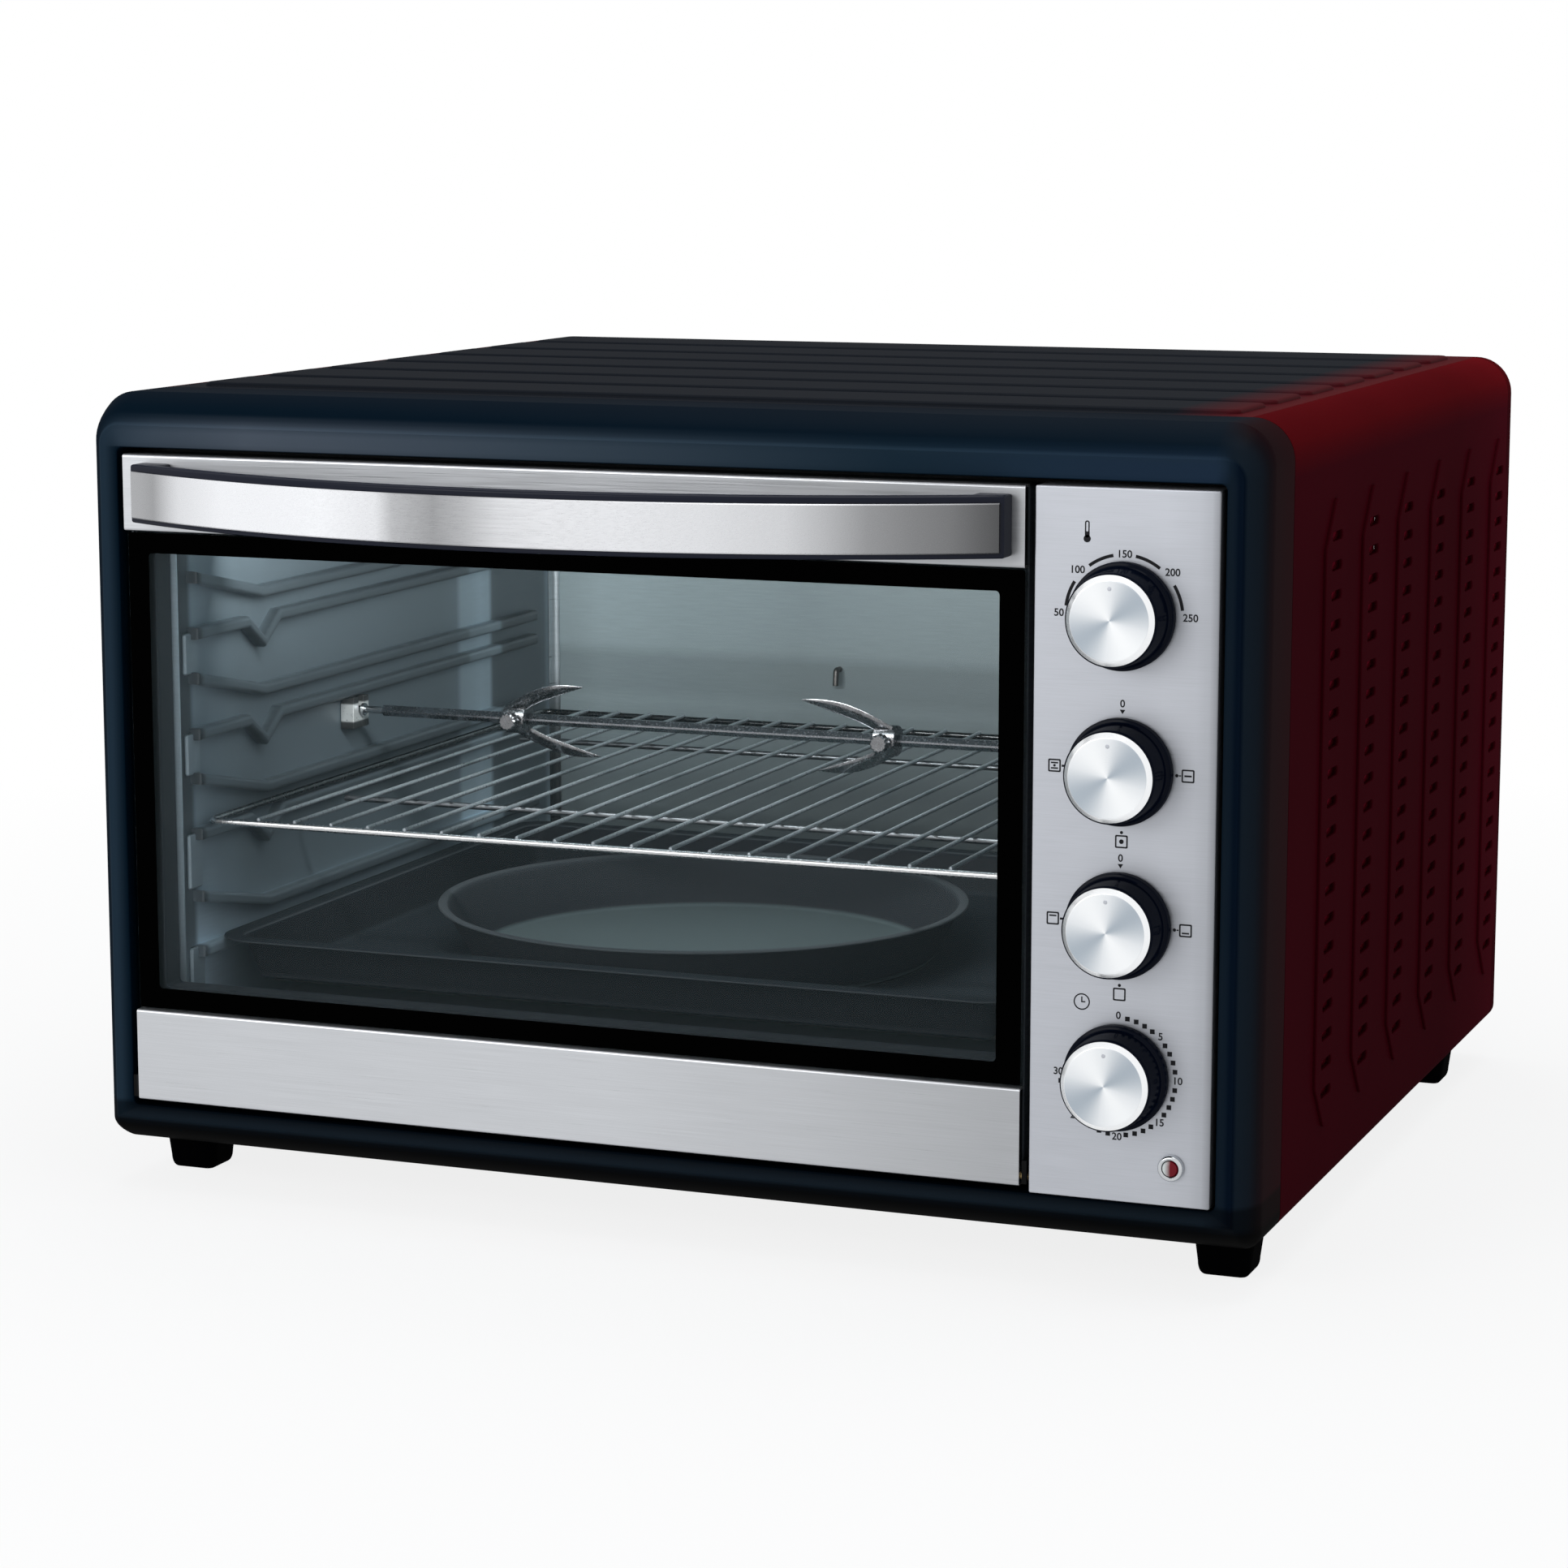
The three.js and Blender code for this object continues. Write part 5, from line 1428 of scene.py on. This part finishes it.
# Rack: its bars look thinner than the CAD's, so they stand inside them
rack_x0, rack_x1, rack_y0, rack_y1, rack_z0, rack_z1 = node_box("wire_rack")
rack_bar = 2.5
rack_bar_seen = 1.8
cross_bar_seen = 1.62
rack_bar_sides = 16
rack_bend = 6
rack_wire = 1.1
wire_sides = 14
wire_edge = 0.4
wire_overlap = 0.3
rack_pitch = 20.5
rack_spacing = 95
rack_z = rack_z1 - 3.2
cross_bar_z = rack_z0 + 2.25
rack_left = rack_x0 + rack_bar
rack_right = rack_x1 - rack_bar
rack_front = rack_y0 + rack_bar
rack_back = rack_y1 - rack_bar
wire_count = math.floor((rack_right - rack_left) / rack_pitch) - 1
wire_span = (wire_count - 1) * rack_pitch
first_wire = (rack_left + rack_right - wire_span) * half


def rack_frame():
    corners = [(x, y, rack_z) for x, y in ((rack_left, rack_front), (rack_right, rack_front),
                                           (rack_right, rack_back), (rack_left, rack_back))]
    return tube(bent(corners, rack_bend, closed=True), rack_bar_seen, rack_bar_sides, closed=True)


def cross_bars():
    ends = (first_wire, first_wire + wire_span)
    return joined([tube([(x, y, cross_bar_z) for x in ends], cross_bar_seen, wire_sides)
                   for y in (rack_front + rack_spacing, rack_back - rack_spacing)])


def rack_wires():
    return joined([rod(rack_front - wire_overlap, rack_back + wire_overlap,
                       (first_wire + i * rack_pitch, 0, rack_z1 - rack_wire), rack_wire, "y",
                       wire_edge, wire_sides) for i in range(wire_count)])


piece("rack_frame", rack_frame(), rack_look, "rack", "wire_rack", wire_angle)
piece("rack_bars", cross_bars(), cross_bar_look, "rack", smooth=wire_angle)
piece("rack_wires", rack_wires(), wire_look, "rack", smooth=wire_angle)

# Baking tray and round pan
tray_box = node_box("baking_tray")
tray_bottom, tray_top = tray_box[4:]
tray_corner = 22
tray_least = 2
tray_profile = [(24, -23.2), (20.6, -23.2), (18.2, -21.6), (11, -3.4), (9.8, -1.6), (0.5, -1.2), (0, -0.9),
                (0, -0.3), (0.5, 0), (9.4, 0), (10.6, -0.4), (11.6, -1.6), (12.2, -3.2),
                (18.2, -19.6), (19.4, -21.2), (21.4, -22), (24, -22)]
# Tray tones by height: a slightly lighter floor and a bright line on the rim, both painted light
tray_tones = [(tray_bottom, (0.024, 0.029, 0.035)), (tray_bottom + 2, (0.036, 0.043, 0.05)),
              (tray_bottom + 4, (0.024, 0.027, 0.031)), (tray_top - 2.4, (0.021, 0.023, 0.027)),
              (tray_top - 1.1, (0.019, 0.022, 0.026)), (tray_top - 0.5, (0.075, 0.085, 0.095)),
              (tray_top, (0.03, 0.036, 0.042))]
tray = loft([inset_ring(tray_box, tray_corner, inset, tray_top + rise, tray_least)
             for inset, rise in tray_profile])
piece("enamel_tray", tray, enamel("tray_enamel", tray_tones), "tray",
      "baking_tray", round_angle)

pan_bottom = node_box("round_pan")[4]
pan_at = (*middle("round_pan")[:2], pan_bottom)
pan_sides = 128
pan_profile = [(0, 0), (118, 0), (120.6, 0.8), (122.2, 2.6), (135.2, 26.4), (136, 27.5),
               (138.6, 27.5), (139.3, 27.9), (139.5, 28.4), (139.1, 28.9), (138.3, 29),
               (135.4, 29), (134.2, 28.2), (121, 4.6), (119.6, 2.6), (117, 1.5), (0, 1.4)]
# Pan tones by height: a far lighter floor as a painted reflection, a painted highlight on the rim
pan_tones = [(0, (0.012, 0.014, 0.018)), (1.1, (0.012, 0.014, 0.018)), (1.3, (0.108, 0.137, 0.144)),
             (2.2, (0.1, 0.13, 0.136)), (4, (0.028, 0.031, 0.036)), (26, (0.034, 0.038, 0.043)),
             (28, (0.05, 0.058, 0.066)), (29, (0.08, 0.09, 0.098))]
pan_look = enamel("pan_enamel", [(pan_bottom + rise, tone) for rise, tone in pan_tones])
piece("pizza_pan", lathe(pan_profile, pan_at, pan_sides, "z"), pan_look, "tray",
      "round_pan", round_angle)

# Spit: a square bar that stands on one of its edges, with a round end in the socket
spit_x0, spit_x1 = node_box("spit_rod")[:2]
spit_y, spit_z = middle("spit_rod")[1:]
spit_at = (0, spit_y, spit_z)
spit_half = 2.9
spit_edge = 0.5
spit_end_radius = 2.5
journal_radius = 1.9
journal_collar = (9, 11, 3.4)
spit_overlap = 2
bar_left = cavity_left + 22
bar_right = cavity_right - runner_reach - 3


def spit_bar():
    a, b, c = spit_half, spit_half - spit_edge, spit_edge
    outline = [(-a, c), (-b, 2 * c), (-c, a), (c, a), (b, 2 * c), (a, c), (a, -c), (b, -2 * c), (c, -a),
               (-c, -a), (-b, -2 * c), (-a, -c)]
    return loft([[(x, spit_y + y, spit_z + z) for y, z in outline] for x in (bar_left, bar_right)])


def spit_journal():
    start, end, radius = journal_collar
    return joined([rod(spit_x0, bar_left + spit_overlap, spit_at, journal_radius),
                   rod(cavity_left + start, cavity_left + end, spit_at, radius)])


spit_end = rod(bar_right - spit_overlap, spit_x1, spit_at, spit_end_radius)
piece("spit_bar", joined([spit_bar(), spit_end]), spit_steel, "spit", "spit_rod")
piece("spit_journal", spit_journal(), chrome, "spit")

# Forks: each a hub with two bent blades, and a screw with a ridged head
fork_hub = [(3.35, -6), (7.4, -6), (8, -5.4), (8, 5.4), (7.4, 6), (3.35, 6), (3.35, -6)]
fork_shape = [(43, 23.4), (32, 21.6), (21, 18.5), (11, 14), (3, 9), (-2, 5.5)]
fork_blade = 4
fork_flat_share = 0.4
fork_tip_share = 0.06
fork_tip_points = 9
fork_tilt = 30
fork_steps = 4
blade_sides = 12
hub_sides = 40
screw_radius = 2
screw_length = (-9.6, -3.4)
screw_rings = ((-9, 3.9), (-9.6, 4.6), (-14.4, 4.6), (-15, 3.9))
ridge_count = 12
ridge_rises = (0.2, 0.2, -0.25, -0.25)


def fork(hub_x, direction):
    """A hub with one bent blade on each side of the rod, both pointing to the middle."""
    at = (hub_x, spit_y, spit_z)
    turn = Matrix.Rotation(math.radians(fork_tilt), 3, "X")
    parts = [lathe(fork_hub, at, hub_sides, "x")]
    for sign in (1, -1):
        path = curve_points([(along, 0, sign * out) for along, out in fork_shape], fork_steps)
        radii = []
        for i in range(len(path)):
            swell = math.sin(min(1, i / fork_tip_points) * quarter_turn)
            radii.append(fork_blade * (fork_tip_share + (1 - fork_tip_share) * swell))
        blade = tube(path, radii, blade_sides, flat=fork_flat_share, up=(0, 1, 0))
        parts.append(moved(blade, lambda p: turn @ Vector((direction * p[0], p[1], p[2])) + Vector(at)))
    return joined(parts)


def thumb_screw(hub_x):
    """Screw with a ridged head, in front of the hub."""
    rings = []
    for y, radius in screw_rings:
        ridges = [radius + rise for rise in ridge_rises * ridge_count]
        turns = [full_turn * i / len(ridges) for i in range(len(ridges))]
        rings.append([(hub_x + r * math.cos(t), spit_y + y, spit_z + r * math.sin(t))
                      for r, t in zip(ridges, turns)])
    stem = rod(*screw_length, (hub_x, spit_y, spit_z), screw_radius, "y", sides=screw_sides)
    return joined([stem, loft(rings)])


for side, direction in (("left", 1), ("right", -1)):
    hub_x = middle("fork_screw_" + side)[0]
    piece("prongs_" + side, fork(hub_x, direction), fork_steel, "spit",
          "fork_" + side, fork_angle)
    piece("thumb_screw_" + side, thumb_screw(hub_x), fork_steel, "spit",
          "fork_screw_" + side, round_angle)

# What holds the spit, and a clip on the rear wall
rest_edge = 0.5
socket_x0, socket_x1 = node_box("drive_socket")[:2]
socket_length = socket_x1 - socket_x0
socket_bore = 2.8
socket_radius = 8
socket_edge = 0.8
socket_depth = 13.3
socket_profile = [(socket_bore, 0), (socket_radius - socket_edge, 0), (socket_radius, socket_edge),
                  (socket_radius, socket_length - socket_edge),
                  (socket_radius - socket_edge, socket_length), (0, socket_length), (0, socket_depth),
                  (socket_bore, socket_depth), (socket_bore, 0)]
clip_x = 223
clip_y = node_box("cavity_back_wall")[2]
clip_z = 193
clip_path = [(clip_x, clip_y, clip_z), (clip_x, clip_y - 6, clip_z), (clip_x, clip_y - 7, clip_z - 9)]
clip_bend = 1.6
clip_steps = 5
clip_sides = 14
clip_radius = 1.7
softened("spit_support", "rod_rest", rest_look, "body", rest_edge, edge_segments)
piece("turning_socket", lathe(socket_profile, (socket_x0, spit_y, spit_z), hub_sides, "x"), chrome,
      "spit_drive", "drive_socket")
clip = tube(bent(clip_path, clip_bend, clip_steps), clip_radius, clip_sides)
piece("rear_clip", clip, heater_look, "body")

# Floor and light, in metres
floor_reach = 9
floor_drop = 0.0002
shadow_reach = (0.4, 1.3)
glow_share = 0.84
floor_grey = (0.86, 0.86, 0.86, 1)
white = (1, 1, 1, 1)
sky = (0.9, 0.95, 1, 1)
sky_strength = 0.55


def background(nodes):
    """1 where a camera, mirror or glass ray looks at the background."""
    rays = nodes.node("LightPath").outputs
    straight = nodes.result("MAXIMUM", rays["Is Camera Ray"], rays["Is Transmission Ray"])
    return nodes.result("MAXIMUM", straight, rays["Is Glossy Ray"])


def mixed(nodes, share, first, second, output):
    """Two shaders as the surface: the share of the second is given."""
    mix = nodes.node("MixShader", {"Fac": share, 1: first.outputs[0], 2: second.outputs[0]})
    nodes.node(output, {"Surface": mix.outputs["Shader"]})


def floor_look():
    """White wherever the camera or a mirror looks, but for a share that keeps the shadow."""
    material = bpy.data.materials.new("floor")
    nodes = Nodes(material)
    nodes.tree.nodes.clear()
    away = nodes.length(nodes.node("TexCoord").outputs["Object"])
    fade = nodes.spread(away, glow_share, 1, *shadow_reach)
    mixed(nodes, nodes.result("MULTIPLY", background(nodes), fade),
          nodes.node("BsdfDiffuse", {"Color": floor_grey}), nodes.node("Emission", {"Color": white}),
          "OutputMaterial")
    return material


def studio():
    """A pale sky that lights the oven, and plain white where the background is seen."""
    world = bpy.data.worlds.new("studio")
    nodes = Nodes(world)
    nodes.tree.nodes.clear()
    mixed(nodes, background(nodes), nodes.node("Background", {"Color": sky, "Strength": sky_strength}),
          nodes.node("Background", {"Color": white, "Strength": 1}), "OutputWorld")
    return world


floor_mesh = bpy.data.meshes.new("floor")
floor_mesh.from_pydata([(-floor_reach, -floor_reach, 0), (floor_reach, -floor_reach, 0),
                        (floor_reach, floor_reach, 0), (-floor_reach, floor_reach, 0)],
                       [], [(0, 1, 2, 3)])
floor_mesh.materials.append(floor_look())
floor = added("floor", floor_mesh)
floor.location.z = -floor_drop
bpy.context.scene.world = studio()


def lamp(name, at, target, size, watts, color=(1, 1, 1)):
    obj = added(name, bpy.data.lights.new(name, "AREA"))
    obj.data.shape = "RECTANGLE"
    obj.data.size, obj.data.size_y = size
    obj.data.energy = watts
    obj.data.color = color
    obj.location = at
    obj.rotation_euler = (Vector(target) - Vector(at)).to_track_quat("-Z", "Y").to_euler()


lamp("key", (-1.1, -2.4, 1.2), (0, 0, 0.2), (1.6, 1.2), 22)
lamp("top", (0.1, 0.2, 2.2), (0, 0, 0.3), (1.8, 1.4), 18)
lamp("cavity", place((255, 64, 322)), place((255, 470, 250)), (0.36, 0.04), 1.3, (0.95, 1, 1))

bpy.context.scene.view_settings.view_transform = "Standard"
